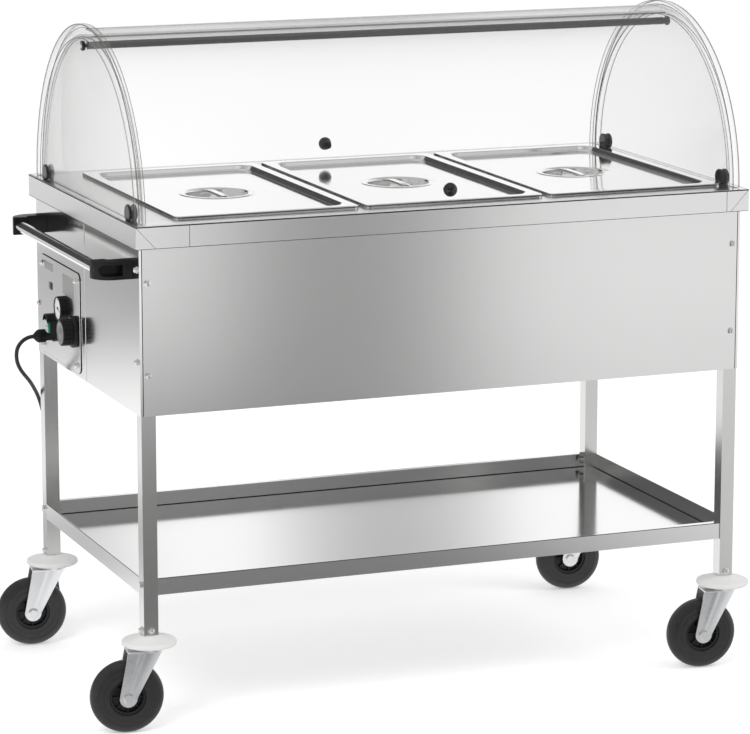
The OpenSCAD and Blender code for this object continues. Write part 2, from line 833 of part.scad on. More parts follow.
// A round pull knob with its screw through the flap and its nut inside
module flap_knob(r, back) {
    color("dimgray") scale_sign(1, back ? -1 : 1) on_arch(knob_angle, r) {
        translate([0, 0, -flap_t - knob_nut_h]) cylinder(r = knob_nut_r, h = knob_nut_h);
        translate([0, 0, -flap_t - eps]) cylinder(r = knob_stem_r, h = flap_t + 2 * eps);
        rotate_extrude() polygon([
            [0, 0], [knob_d / 2 - 5, 0], [knob_d / 2 - 6, 5], [knob_d / 2 - 1, 11],
            [knob_d / 2, 15], [knob_d / 2 - 2, 20], [knob_d / 2 - 6, knob_reach - 1],
            [0, knob_reach]
        ]);
    }
}

// Handle

// One elbow: from the panel out and round to a socket for the tube, a recess in its outer side
module elbow() {
    block([handle_x + elbow_r, -elbow_y, -arm_h / 2], [-body_l / 2, -elbow_y + arm_w, arm_h / 2]);
    block(
        [handle_x, -elbow_y + elbow_r, -arm_h / 2],
        [handle_x + grip_socket_w, -elbow_y + elbow_l, arm_h / 2]
    );
    translate([handle_x + elbow_r, -elbow_y + elbow_r, -arm_h / 2]) intersection() {
        cylinder(r = elbow_r, h = arm_h);
        translate([-elbow_r, -elbow_r, 0]) cube([elbow_r, elbow_r, arm_h]);
    }
}

module handle_arm() {
    difference() {
        elbow();
        rod_y(handle_tube_x, -elbow_y + elbow_l - handle_socket, 0, 0, handle_d / 2 + seat_gap);
        block(
            [handle_x + 16, -elbow_y - cut, -arm_h / 2 + 6],
            [handle_x + 46, -elbow_y + 6, arm_h / 2 - 6]
        );
    }
}

module handle_arms() {
    color("black") for (sy = [1, -1]) translate([0, 0, arm_z]) scale_sign(1, sy) handle_arm();
}

module handle_tube() {
    half = elbow_y - elbow_l + handle_socket;
    color("silver") difference() {
        rod_y(handle_tube_x, -half, half, arm_z, handle_d / 2);
        rod_y(handle_tube_x, -half - cut, half + cut, arm_z, handle_d / 2 - 1.2);
    }
}

// Controls on the left end

// Carries a thing that points outwards along +Z to a place on the cover
module on_cover(pos) {
    translate([cover_x, pos[0], pos[1]]) rotate([0, -90, 0]) children();
}

// The plate that carries the controls
module control_cover() {
    l = cover_z[1] - cover_z[0];
    w = cover_y[1] - cover_y[0];
    color("silver") difference() {
        translate([-body_l / 2, (cover_y[0] + cover_y[1]) / 2, (cover_z[0] + cover_z[1]) / 2])
            rotate([0, -90, 0]) linear_extrude(cover_t) round_rect(l, w, cover_corner);
        for (y = cover_screw_y, z = cover_screw_z)
            rod_x(cover_x - cut, cover_x + cover_t + cut, y, z, screw_hole_r);
        on_cover(knob_pos) translate([0, 0, -2 * cover_t])
            cylinder(r = spindle_r + 1, h = 4 * cover_t);
        on_cover(gauge_pos) translate([0, 0, -2 * cover_t])
            cylinder(r = gauge_stem_r + seat_gap, h = 4 * cover_t);
        on_cover(switch_pos) translate([0, 0, -2 * cover_t])
            linear_extrude(4 * cover_t) square([switch_h - 5, switch_w - 5], center = true);
        on_cover(gland_pos) translate([0, 0, -2 * cover_t])
            cylinder(r = gland_stem_r + seat_gap, h = 4 * cover_t);
        on_cover(lamp_pos) translate([0, 0, -2 * cover_t])
            linear_extrude(4 * cover_t) square([lamp_h - 2.8, lamp_w - 2.8], center = true);
    }
}

// The bare badge and the bare label
module blank_plates() {
    color("gainsboro") {
        block(
            [cover_x - plate_t, badge_pos[0], badge_pos[1]],
            [cover_x, badge_pos[0] + badge_l, badge_pos[1] + badge_h]
        );
        block(
            [cover_x - plate_t / 2, label_pos[0], label_pos[1]],
            [cover_x, label_pos[0] + label_l, label_pos[1] + label_h]
        );
    }
}

module pilot_lamp() {
    color("darkslategray") on_cover(lamp_pos) {
        linear_extrude(1.2) round_rect(lamp_h, lamp_w, 2);
        translate([0, 0, 1.2]) linear_extrude(1) round_rect(lamp_h - 4, lamp_w - 4, 1);
        translate([0, 0, -14]) linear_extrude(14 + eps)
            square([lamp_h - 3, lamp_w - 3], center = true);
    }
}

// The thermometer's case with its recess, and the stem behind the cover
module gauge_case() {
    color("black") on_cover(gauge_pos) difference() {
        union() {
            cylinder(d = gauge_d, h = gauge_reach);
            translate([0, 0, -24]) cylinder(r = gauge_stem_r, h = 24 + eps);
        }
        translate([0, 0, gauge_reach - 2]) cylinder(d = gauge_d - 5, h = 2 + cut);
    }
}

// The thermometer's white face and its needle
module gauge_face() {
    color("white") on_cover(gauge_pos) translate([0, 0, gauge_reach - 2]) {
        cylinder(d = gauge_d - 5, h = 0.6);
        translate([-7, -0.6, 0.5]) cube([gauge_d / 2 + 1, 1.2, 0.6]);
        cylinder(r = 2.5, h = 1.4);
    }
}

// The thermostat's body with its capillary and the bulb held against the bath
module thermostat() {
    bulb_x = open_x0 - bath_wall - bulb_r;
    tube_x = -body_l / 2 + thermostat_depth + 6;
    tube_y = knob_pos[0] + 25;
    tube_z = bath_z + 34;
    color("tan") difference() {
        block(
            [-body_l / 2, knob_pos[0] - 5, knob_pos[1] - thermostat_h / 2],
            [-body_l / 2 + thermostat_depth, knob_pos[0] - 5 + thermostat_w, knob_pos[1] + thermostat_h / 2]
        );
        on_cover(knob_pos) translate([0, 0, -14 - cover_t]) cylinder(r = spindle_r + 1, h = 20);
    }
    color("peru") {
        rod_x(-body_l / 2 + thermostat_depth, tube_x, tube_y, knob_pos[1], capillary_r);
        translate([tube_x, tube_y, knob_pos[1]]) sphere(r = capillary_r);
        translate([tube_x, tube_y, knob_pos[1]]) cylinder(r = capillary_r, h = tube_z - knob_pos[1]);
        translate([tube_x, tube_y, tube_z]) sphere(r = capillary_r);
        rod_x(tube_x, bulb_x, tube_y, tube_z, capillary_r);
        rod_y(bulb_x, knob_pos[0], knob_pos[0] + bulb_l, tube_z, bulb_r);
    }
}

// The block where the lead meets the wiring
module terminal_block() {
    z0 = body_z + 2 * sheet;
    color("ivory") difference() {
        block(
            [-body_l / 2 + terminal_set, terminal_y, z0],
            [-body_l / 2 + terminal_set + terminal_w, terminal_y + terminal_l, z0 + terminal_h]
        );
        for (i = [0 : 4]) translate([
            -body_l / 2 + terminal_set + terminal_w / 2,
            terminal_y + terminal_l * (i + 0.5) / 5,
            z0 + terminal_h / 2 + 1
        ]) cylinder(r = 3, h = terminal_h);
    }
}

// The thermostat's knob with its flange and spindle
module thermostat_knob() {
    flange_t = 8;
    color("dimgray") on_cover(knob_pos) {
        translate([0, 0, 0.5]) cylinder(d = dial_flange_d, h = flange_t - 0.5);
        translate([0, 0, flange_t]) linear_extrude(dial_reach - flange_t) difference() {
            circle(d = dial_grip_d);
            for (i = [0 : 17]) rotate(i * 20)
                translate([dial_grip_d / 2 + 1.2, 0]) circle(r = 2.2, $fn = 24);
        }
        translate([0, 0, -12]) cylinder(r = spindle_r, h = 12.5 + eps);
    }
}

// The outline of the switch's collar: straight below, round at the top
module switch_outline(inset) {
    arc_at = switch_h / 2 - switch_w / 2;
    translate([-switch_h / 2 + inset, -switch_w / 2 + inset])
        square([arc_at + switch_h / 2 - inset, switch_w - 2 * inset]);
    translate([arc_at, 0]) circle(d = switch_w - 2 * inset);
}

// The switch's black collar with a hood over its top, and the housing behind the cover
module switch_frame() {
    color("black") on_cover(switch_pos) difference() {
        union() {
            linear_extrude(switch_reach) switch_outline(0);
            linear_extrude(hood_reach) difference() {
                switch_outline(0);
                switch_outline(2);
                translate([-switch_h, -switch_w]) square([switch_h * 3 / 2 - switch_w / 2, 2 * switch_w]);
            }
            translate([0, 0, -20]) linear_extrude(20 + eps)
                square([switch_h - 6, switch_w - 6], center = true);
        }
        translate([-rocker_half - 2.6, -rocker_w / 2 - 0.5, -15])
            cube([2 * rocker_half + 5.2, rocker_w + 1, 15 + switch_reach + cut]);
        translate([0, -rocker_w / 2 - 2.5, -4]) rotate([-90, 0, 0])
            cylinder(r = 1.5 + run_gap, h = rocker_w + 5);
    }
}

// The green rocker on its pivot, tilted to off
module switch_rocker() {
    color("seagreen") translate([rocker_x, switch_pos[0], switch_pos[1]]) rotate([0, -rocker_tilt, 0]) {
        translate([0, rocker_w / 2, 0]) rotate([90, 0, 0]) linear_extrude(rocker_w) polygon([
            [3, -8], [3, 8], [-5, rocker_half], [-rocker_front, rocker_half],
            [-rocker_front + 1.5, 0], [-rocker_front, -rocker_half], [-5, -rocker_half]
        ]);
        rod_y(0, -rocker_w / 2 - 2, rocker_w / 2 + 2, 0, 1.5);
    }
}

// The gland: a locknut inside, a body through the cover and a domed, ribbed nut outside
module cable_gland() {
    color("black") on_cover(gland_pos) difference() {
        union() {
            translate([0, 0, -cover_t - 8]) cylinder(r = gland_stem_r, h = cover_t + 9);
            translate([0, 0, -cover_t - 6]) cylinder(r = gland_r, h = 6 - seat_gap, $fn = 6);
            cylinder(r = gland_r - 1.5, h = 7, $fn = 6);
            translate([0, 0, 6]) cylinder(r = gland_r, h = 12, $fn = 12);
            translate([0, 0, 18])
                cylinder(r1 = gland_r - 0.5, r2 = gland_r - 5, h = gland_reach - 18, $fn = 24);
        }
        translate([0, 0, -20]) cylinder(r = cord_r, h = 19);
    }
}

// The mains lead

function unit(v) = v / norm(v);

// The way along a list of points at one of them
function way(p, i) =
    unit(p[min(i + 1, len(p) - 1)] - p[max(i - 1, 0)]);

// A point on the smooth curve through four points in a row, at share t between the middle two
function curve_at(a, b, c, d, t) =
    0.5 * (2 * b + (c - a) * t + (2 * a - 5 * b + 4 * c - d) * t * t
        + (3 * b - a - 3 * c + d) * t * t * t);

// More points along the smooth curve through a list of points
function smooth(p, steps) = [
    for (i = [0 : len(p) - 2], s = [0 : steps - 1])
        curve_at(
            p[max(i - 1, 0)], p[i], p[i + 1], p[min(i + 2, len(p) - 1)], s / steps
        ),
    p[len(p) - 1]
];

// Side directions carried along the points without twist
function sides_of(p, i, u) =
    i >= len(p) ? [] :
    let (w = way(p, i), v = unit(u - (u * w) * w))
    concat([v], sides_of(p, i + 1, v));

// One closed tube round a list of points, its first side direction given
module tube(p, r, n, first_side) {
    u = sides_of(p, 0, first_side);
    rings = [
        for (i = [0 : len(p) - 1], k = [0 : n - 1])
            let (a = (k + 0.5) * 360 / n, w = way(p, i))
            p[i] + r * (cos(a) * u[i] + sin(a) * cross(w, u[i]))
    ];
    last = len(p) - 1;
    polyhedron(
        points = concat(rings, [p[0], p[last]]),
        faces = concat(
            [for (i = [0 : last - 1], k = [0 : n - 1])
                [i * n + k, (i + 1) * n + k, (i + 1) * n + (k + 1) % n]],
            [for (i = [0 : last - 1], k = [0 : n - 1])
                [i * n + k, (i + 1) * n + (k + 1) % n, i * n + (k + 1) % n]],
            [for (k = [0 : n - 1]) [(last + 1) * n, k, (k + 1) % n]],
            [for (k = [0 : n - 1]) [(last + 1) * n + 1, last * n + (k + 1) % n, last * n + k]]
        )
    );
}

function along(p) = [for (i = [0 : len(p) - 2]) norm(p[i + 1] - p[i])];
function total(v, i = 0) = i >= len(v) ? 0 : v[i] + total(v, i + 1);

lead_curve = smooth(lead_points, 3);

module mains_lead() {
    color("black") tube(lead_curve, cord_r, 8, [0, 0, 1]);
}

// The coil winds in on the floor, climbs a layer in half a turn, and winds out again
coil_turns = coil_in + 0.5 + coil_out;
coil_middle = coil_in + 0.25;
function coil_radius(t) = coil_r - coil_step * (coil_middle - abs(t - coil_middle));
function coil_height(t) =
    cord_r + coil_rise * (t < coil_in ? 0 : t < coil_in + 0.5
        ? (1 - cos(360 * (t - coil_in))) / 2 : 1);
coil_points = [
    for (k = [0 : coil_turns * coil_rings])
        let (t = k / coil_rings)
        [coil_c[0] - coil_radius(t) * sin(360 * t), coil_c[1] - coil_radius(t) * cos(360 * t),
            coil_height(t)]
];
coil_curve = concat([lead_points[len(lead_points) - 1]], coil_points, tail_points);

// The least gap between turns of the coil, measured on its points
coil_gap = min([
    for (i = [0 : len(coil_curve) - 1], j = [0 : len(coil_curve) - 1])
        if (j > i + coil_rings / 3) norm(coil_curve[i] - coil_curve[j]) - cord_d
]);

module lead_coil() {
    echo(coil_gap = coil_gap, coil_length = total(along(coil_curve)),
        lead_length = total(along(lead_curve)));
    color("black") tube(coil_curve, cord_r, coil_sides, [0, 0, 1]);
}

// The plug: a tapered sleeve, a round body and two pins
module mains_plug() {
    tip = tail_points[len(tail_points) - 1];
    color("black") translate(tip) rotate([0, 90, 0]) {
        cylinder(r1 = cord_r + 1, r2 = cord_r + 4, h = 24, $fn = 24);
        translate([0, 0, 24]) cylinder(r = plug_r - 4, h = 10);
        translate([0, 0, 34]) cylinder(r = plug_r, h = 22);
        for (sy = [-1, 1]) translate([0, sy * 9.5, 56 - eps]) cylinder(r = 2.4, h = 19);
    }
}

// Castors

// Carries a castor's own piece to a leg, its trail towards -X before the yaw
module at_castor(sx, sy) {
    translate([sx * leg_x, sy * leg_y, 0]) rotate(castor_yaw) children();
}

// White discs that guard the corners, one under each leg
module castor_bumpers() {
    color("white") at_legs() translate([0, 0, bumper_z]) difference() {
        rotate_extrude($fn = 96) polygon([
            [0, 0], [bumper_d / 2 - 2, 0], [bumper_d / 2, 3], [bumper_d / 2, bumper_h - 2],
            [bumper_d / 2 - 2, bumper_h], [20, bumper_h + cone_h], [0, bumper_h + cone_h]
        ]);
        translate([0, 0, -cut]) cylinder(d = kingpin_d + 2 * seat_gap, h = 40);
    }
}

// The plugs in the leg tubes with their kingpins, each headed below the fork
module castor_stems() {
    plug_side = leg - 2 * leg_wall - 2 * seat_gap;
    head_z = fork_plate_z - pin_head_h - 0.4;
    color("silver") at_legs() {
        difference() {
            translate([-plug_side / 2, -plug_side / 2, leg_z]) cube([plug_side, plug_side, plug_len]);
            rod_y(0, plug_side / 2 - 6, plug_side / 2 + cut, foot_screw_z, screw_hole_r);
            rod_x(plug_side / 2 - 6, plug_side / 2 + cut, 0, foot_screw_z, screw_hole_r);
        }
        translate([0, 0, head_z]) cylinder(d = kingpin_d, h = leg_z - head_z + eps);
        translate([0, 0, head_z]) cylinder(r = pin_head_r, h = pin_head_h);
    }
}

// The cheek of a fork in side view, from the plate down to the axle's eye
module fork_cheek() {
    difference() {
        union() {
            polygon([
                [-fork_back, fork_plate_z + eps], [fork_front, fork_plate_z + eps],
                [fork_front, fork_plate_z - 8], [-trail + fork_eye_r, wheel_z],
                [-trail - fork_eye_r, wheel_z]
            ]);
            translate([-trail, wheel_z]) circle(r = fork_eye_r);
        }
        translate([-trail, wheel_z]) circle(d = axle_d + 2 * seat_gap);
    }
}

// A fork: a round-nosed plate with a swivel neck and two cheeks, and the axle bolt through them
module fork(sx, sy) {
    half = fork_gap / 2;
    color("lightsteelblue") at_castor(sx, sy) {
        difference() {
            union() {
                block(
                    [-fork_back, -half - fork_t, fork_plate_z],
                    [fork_front, half + fork_t, fork_plate_z + fork_plate_t]
                );
                translate([0, 0, fork_plate_z])
                    cylinder(r = fork_neck_r, h = bumper_z - fork_plate_z - 0.4);
                for (y = [-half - fork_t, half])
                    translate([0, y + fork_t, 0]) rotate([90, 0, 0])
                        linear_extrude(fork_t) fork_cheek();
            }
            translate([0, 0, fork_plate_z - cut])
                cylinder(d = kingpin_d + 2 * run_gap, h = 30);
        }
        rod_y(-trail, -half - fork_t - 2, half + fork_t + 2, wheel_z, axle_d / 2);
        for (y = [-half - fork_t - 6.1, half + fork_t + 0.1])
            translate([-trail, y, wheel_z]) rotate([-90, 0, 0]) cylinder(r = 8, h = 6, $fn = 6);
    }
}

// A hub with a bore for the axle and a ribbed web
module hub(sx, sy) {
    rib_r = (hub_d / 2 + axle_d / 2) / 2;
    color("dimgray") at_castor(sx, sy) translate([-trail, 0, wheel_z]) rotate([90, 0, 0])
        difference() {
            union() {
                cylinder(d = hub_d, h = wheel_w - 5, center = true);
                cylinder(r = axle_d / 2 + 6, h = hub_len, center = true);
            }
            cylinder(d = axle_d + 2 * run_gap, h = 2 * hub_len, center = true);
            for (side = [0, 1], i = [0 : 7]) mirror([0, 0, side])
                rotate(i * 45) translate([rib_r + 3.5, 0, wheel_w / 2 - 8])
                    cylinder(r = 4.2, h = wheel_w, $fn = 24);
        }
}

// A rubber tyre with rounded shoulders and a groove in each side
module tyre(sx, sy) {
    r = wheel_d / 2;
    w = wheel_w / 2;
    color("black") at_castor(sx, sy) translate([-trail, 0, wheel_z]) rotate([90, 0, 0])
        difference() {
            rotate_extrude($fn = 96) {
                translate([hub_d / 2, -w]) square([r - tyre_edge - hub_d / 2, wheel_w]);
                translate([hub_d / 2, -w + tyre_edge]) square([r - hub_d / 2, wheel_w - 2 * tyre_edge]);
                for (s = [-1, 1]) translate([r - tyre_edge, s * (w - tyre_edge)]) circle(r = tyre_edge);
            }
            for (s = [-1, 1]) translate([0, 0, s * w]) rotate_extrude($fn = 96)
                translate([hub_d / 2 + 12, 0]) square([2, 2.4], center = true);
        }
}

place() leg_tube(-1, -1);  // leg_front_left
place() leg_tube(1, -1);  // leg_front_right
place() leg_tube(-1, 1);  // leg_back_left
place() leg_tube(1, 1);  // leg_back_right
place() shelf_tray();
place() shelf_bolts();
place() scale_sign(1, -1) long_panel();  // front_panel
place() long_panel();  // back_panel
place() left_panel();
place() right_panel();
place() bottom_plate();
place() body_screws();
place() top_frame();
place() water_bath();
place() pan_rails();
place() heating_rod();
place() thermostat();
place() terminal_block();
place() control_cover();
place() blank_plates();
place() pilot_lamp();
place() gauge_case();
place() gauge_face();
place() thermostat_knob();
place() switch_frame();
place() switch_rocker();
place() cable_gland();
place() mains_lead();
place() lead_coil();
place() mains_plug();
place() handle_tube();
place() handle_arms();
place() dome_end_left();
place() dome_end_right();
place() dome_clamps();
place() tie_tube();
place() flap(front_flap_r, false);  // flap_front
place() flap(back_flap_r, true);  // flap_back
place() flap_knob(front_flap_r, false);  // knob_front
place() flap_knob(back_flap_r, true);  // knob_back
place() pan(0);  // pan_left
place() pan(1);  // pan_middle
place() pan(2);  // pan_right
place() lid(0);  // lid_left
place() lid(1);  // lid_middle
place() lid(2);  // lid_right
place() castor_bumpers();
place() castor_stems();
place() fork(-1, -1);  // fork_front_left
place() fork(1, -1);  // fork_front_right
place() fork(-1, 1);  // fork_back_left
place() fork(1, 1);  // fork_back_right
place() hub(-1, -1);  // hub_front_left
place() hub(1, -1);  // hub_front_right
place() hub(-1, 1);  // hub_back_left
place() hub(1, 1);  // hub_back_right
place() tyre(-1, -1);  // tyre_front_left
place() tyre(1, -1);  // tyre_front_right
place() tyre(-1, 1);  // tyre_back_left
place() tyre(1, 1);  // tyre_back_right
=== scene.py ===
import json
import math

import bmesh
import bpy
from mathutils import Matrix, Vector


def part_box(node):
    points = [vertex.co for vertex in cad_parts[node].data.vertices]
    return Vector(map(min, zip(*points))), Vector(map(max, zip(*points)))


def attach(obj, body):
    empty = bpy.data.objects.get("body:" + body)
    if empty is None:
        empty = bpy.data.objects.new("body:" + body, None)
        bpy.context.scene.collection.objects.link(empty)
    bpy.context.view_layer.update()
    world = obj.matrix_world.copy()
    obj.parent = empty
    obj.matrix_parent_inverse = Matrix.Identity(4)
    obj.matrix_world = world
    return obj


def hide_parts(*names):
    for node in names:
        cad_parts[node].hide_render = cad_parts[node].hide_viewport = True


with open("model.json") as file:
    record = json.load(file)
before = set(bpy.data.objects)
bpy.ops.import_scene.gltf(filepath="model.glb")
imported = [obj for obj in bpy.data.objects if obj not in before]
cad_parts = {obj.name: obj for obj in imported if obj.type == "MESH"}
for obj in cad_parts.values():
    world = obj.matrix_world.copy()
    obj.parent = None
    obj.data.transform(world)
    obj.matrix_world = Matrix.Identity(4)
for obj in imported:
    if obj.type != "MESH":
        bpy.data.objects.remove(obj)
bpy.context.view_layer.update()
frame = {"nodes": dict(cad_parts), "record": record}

# Places are in millimetres from the middle of the top, with x to the right and y to the back
MM = 0.001
top_low, top_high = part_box("top_frame")
mid_x = (top_low.x + top_high.x) / 2


def at(x, y, z):
    """A place in millimetres from the middle of the top, as a point in metres."""
    return Vector((mid_x + x * MM, y * MM, z * MM))


def span(node):
    """A node's lowest and highest corners, in millimetres from the middle of the top."""
    low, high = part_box(node)
    return [Vector(((v.x - mid_x) / MM, v.y / MM, v.z / MM)) for v in (low, high)]


# Sizes read from the frame
top_z = top_high.z / MM
panel_low, panel_high = span("front_panel")
body_z = panel_low.z
end_x = span("right_panel")[1].x
side_y = span("back_panel")[1].y
skirt_z = span("top_frame")[0].z
cover_x = span("control_cover")[0].x

# Camera
camera = bpy.data.objects.new("camera", bpy.data.cameras.new("camera"))
bpy.context.scene.collection.objects.link(camera)
bpy.context.scene.camera = camera
camera.location = (-2.2648, -5.8138, 1.8118)
camera_target = Vector((0.0111, 0, 0.5273))
camera.rotation_euler = (camera_target - camera.location).to_track_quat("-Z", "Y").to_euler()
camera.data.lens = 173.0
camera.data.sensor_width = 36
camera.data.clip_end = 60


# Mains lead: out of the gland, down behind the back left leg, and into a coil on the floor
cord_r = 3.5
lead_points = [
    (-576, 227, 581), (-584.6, 227.3, 579.7), (-592.5, 228.1, 576.1), (-598.9, 229.4, 570.3),
    (-603.4, 231.1, 563), (-605.4, 232.9, 554.7), (-604.7, 237.1, 542), (-600.6, 243.8, 529.6),
    (-593.6, 252.7, 517.8), (-585.1, 262.7, 507.1), (-576.3, 272.9, 497.3), (-568.2, 283, 488),
    (-557.6, 298, 474), (-546.5, 312.5, 456.5), (-537, 323.7, 435), (-529, 331, 407),
    (-523.5, 336.6, 380), (-518, 343, 345), (-513, 352.5, 290), (-509, 362, 235),
    (-505, 371.5, 185), (-500, 383.5, 134), (-494, 395, 92), (-488.4, 402.6, 63),
    (-484.9, 406.4, 45), (-484, 407, 33), (-485.4, 407, 23.9), (-489.6, 407, 15.7),
    (-496.1, 407, 9.2), (-504.3, 407, 5), (-513.4, 407, 3.6),
]
tail_points = [
    (-573.8, 466, 11.1), (-574, 482, 11.5), (-574, 498, 12.6), (-572.5, 507.3, 13.6),
    (-568.3, 515.6, 14.8), (-561.6, 522.3, 16.1), (-553.3, 526.5, 17.4), (-544, 528, 18.4),
    (-534, 528, 18.6),
]
coil_middle = (-525, 457.5)
coil_r = 50.5
coil_step = 7.7
coil_in = 2.5
coil_out = 2.25
coil_rise = 7.6
coil_rings = 24


def coil_points():
    """The coil winds in on the floor, climbs a layer in half a turn, and winds out again."""
    points = []
    for k in range(int((coil_in + 0.5 + coil_out) * coil_rings) + 1):
        turn = k / coil_rings
        climb = min(max(turn - coil_in, 0), 0.5)
        r = coil_r - coil_step * (coil_in + 0.25 - abs(turn - coil_in - 0.25))
        z = cord_r + coil_rise * (1 - math.cos(math.tau * climb)) / 2
        angle = math.tau * turn
        x, y = coil_middle
        points.append((x - r * math.sin(angle), y - r * math.cos(angle), z))
    return points


def mains_lead():
    """The whole lead as one curve, from the gland to the plug."""
    points = [at(*p) for p in lead_points + coil_points() + tail_points]
    curve = bpy.data.curves.new("power_lead", "CURVE")
    curve.dimensions = "3D"
    curve.bevel_depth = 1.0
    curve.bevel_resolution = 5
    curve.resolution_u = 5
    curve.use_fill_caps = True
    spline = curve.splines.new("BEZIER")
    spline.bezier_points.add(len(points) - 1)
    for knot, point in zip(spline.bezier_points, points):
        knot.co = point
        knot.radius = cord_r * MM
        knot.handle_left_type = knot.handle_right_type = "AUTO"
    lead = bpy.data.objects.new("power_lead", curve)
    bpy.context.scene.collection.objects.link(lead)
    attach(lead, "trolley")
    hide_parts("mains_lead", "lead_coil")
    return lead, points


lead, lead_way = mains_lead()


# Materials
class Level:
    """A value that varies over a surface. Sums and products of levels add Math nodes."""

    def __init__(self, finish, socket):
        self.finish = finish
        self.socket = socket

    def maths(self, operation, *values):
        return self.finish.maths(operation, *values)

    def __add__(self, other):
        return self.maths("ADD", self, other)

    __radd__ = __add__

    def __sub__(self, other):
        return self.maths("SUBTRACT", self, other)

    def __rsub__(self, other):
        return self.maths("SUBTRACT", other, self)

    def __mul__(self, other):
        return self.maths("MULTIPLY", self, other)

    __rmul__ = __mul__

    def __abs__(self):
        return self.maths("ABSOLUTE", self)

    def clamped(self):
        """The level held between 0 and 1."""
        return self.finish.node("Clamp", inputs={"Value": self})


class Finish:
    """A material and the nodes that make it."""

    def __init__(self, name, owner=None):
        self.material = owner or bpy.data.materials.new(name)
        self.material.use_nodes = True
        self.tree = self.material.node_tree
        self.tree.nodes.clear()

    def maths(self, operation, *values):
        return self.node("Math", {"operation": operation}, dict(enumerate(values)))

    def node(self, kind, settings=None, inputs=None, out=None):
        """Adds a node: its settings first, then its sockets' values or links."""
        made = self.tree.nodes.new("ShaderNode" + kind)
        for name, value in (settings or {}).items():
            if name == "stops":
                self.set_stops(made.color_ramp, value)
            else:
                setattr(made, name, value)
        sockets = [s for s in made.inputs if s.enabled]
        for name, value in (inputs or {}).items():
            found = sockets[name] if isinstance(name, int) else self.named(sockets, name)
            if isinstance(value, Level):
                self.tree.links.new(value.socket, found)
            elif found.type == "RGBA":
                found.default_value = (*value, 1)
            else:
                found.default_value = value
        sockets = [s for s in made.outputs if s.enabled]
        return Level(self, self.named(sockets, out) if out else sockets[0]) if sockets else made

    @staticmethod
    def named(sockets, name):
        return next(s for s in sockets if s.name == name)

    @staticmethod
    def set_stops(ramp, stops):
        while len(ramp.elements) < len(stops):
            ramp.elements.new(1)
        for element, (place, colour) in zip(ramp.elements, stops):
            element.position = place
            element.color = (*colour, 1)

    def mixed(self, amount, first, second):
        """One colour over another, by an amount from 0 to 1."""
        return self.node(
            "Mix", {"data_type": "RGBA"}, {"Factor": amount, "A": first, "B": second}
        )

    def place(self, stretch=(1, 1, 1)):
        """The surface's own coordinates, in metres, stretched along each axis."""
        plain = self.node("TexCoord", out="Object")
        return self.node("VectorMath", {"operation": "MULTIPLY"}, {0: plain, 1: stretch})

    def noise(self, scale, detail=3, rough=0.55, stretch=(1, 1, 1)):
        return self.node("TexNoise", inputs={
            "Vector": self.place(stretch), "Scale": scale, "Detail": detail, "Roughness": rough,
        })

    def facing(self, axis):
        """How far the surface turns towards an axis of the piece, either way."""
        normal = self.node("TexCoord", out="Normal")
        parts = self.node("SeparateXYZ", inputs={"Vector": normal}, out=axis)
        return abs(parts)

    def worn(self):
        """1 on the rounded edges of a piece, and 0 elsewhere."""
        return self.node("Attribute", {"attribute_name": "edge"}, out="Fac")

    def eased(self, value, start, end, low, high):
        """A smooth step from low to high, while the value goes from start to end."""
        return self.node("MapRange", {"interpolation_type": "SMOOTHSTEP"}, {
            "Value": value, "From Min": start, "From Max": end, "To Min": low, "To Max": high,
        })

    def bump(self, height, depth):
        return self.node("Bump", inputs={"Height": height, "Distance": depth * MM})

    def surface(self, **inputs):
        """Ends the material in one Principled surface."""
        names = {k.replace("_", " ").title().replace("Ior", "IOR"): v for k, v in inputs.items()}
        shader = self.node("BsdfPrincipled", inputs=names)
        self.output(shader)
        return self.material

    def output(self, shader):
        self.node("OutputMaterial", inputs={"Surface": shader})


def brushed(name, tone, roughness, grain=0.022, along="flat", relief=0.00012, rim=0.0):
    """Brushed stainless steel: fine lines along the sheet, smudges, and edges polished by wear.

    The rim adds roughness to upright faces.
    """
    f = Finish(name)
    fine, drawn_out = 1300, 22
    if along == "flat":
        upright = f.noise(1, 2, 0.5, (drawn_out, drawn_out, fine))
        level = f.noise(1, 2, 0.5, (drawn_out, fine, drawn_out))
        lines = f.node("Mix", {"data_type": "FLOAT"}, {
            "Factor": f.facing("Z"), "A": upright, "B": level,
        })
    else:
        lines = f.noise(1, 2, 0.5, (fine, fine, drawn_out))
    cloud = f.noise(3.5, 4, 0.6)
    edge = f.worn()
    shade = ((lines - 0.5) * grain * 1.6 + (cloud - 0.5) * grain * 0.8 + 0.5).clamped()
    dark, light = [tuple(min(c * k, 0.97) for c in tone) for k in (0.85, 1.15)]
    colour = f.mixed(shade, dark, light)
    colour = f.mixed(edge * 0.5, colour, (0.9, 0.9, 0.89))
    rough = (roughness + (lines - 0.5) * grain * 2 + (cloud - 0.5) * grain - edge * 0.08)
    if rim:
        rough = rough + (1 - f.facing("Z")) * rim
    return f.surface(
        base_color=colour, metallic=1.0, roughness=rough.clamped(),
        normal=f.bump(lines, relief),
    )


def polished(name, tone, roughness):
    """Bright metal with faint smears and hair scratches."""
    f = Finish(name)
    smear = f.noise(9, 4, 0.6)
    hair = f.noise(1, 2, 0.5, (300, 12, 300))
    colour = f.mixed(smear, tuple(c * 0.92 for c in tone), tone)
    rough = roughness + (smear - 0.4) * 0.08 + (hair - 0.5) * 0.04
    return f.surface(
        base_color=colour, metallic=1.0, roughness=rough.clamped(), normal=f.bump(hair, 0.002)
    )


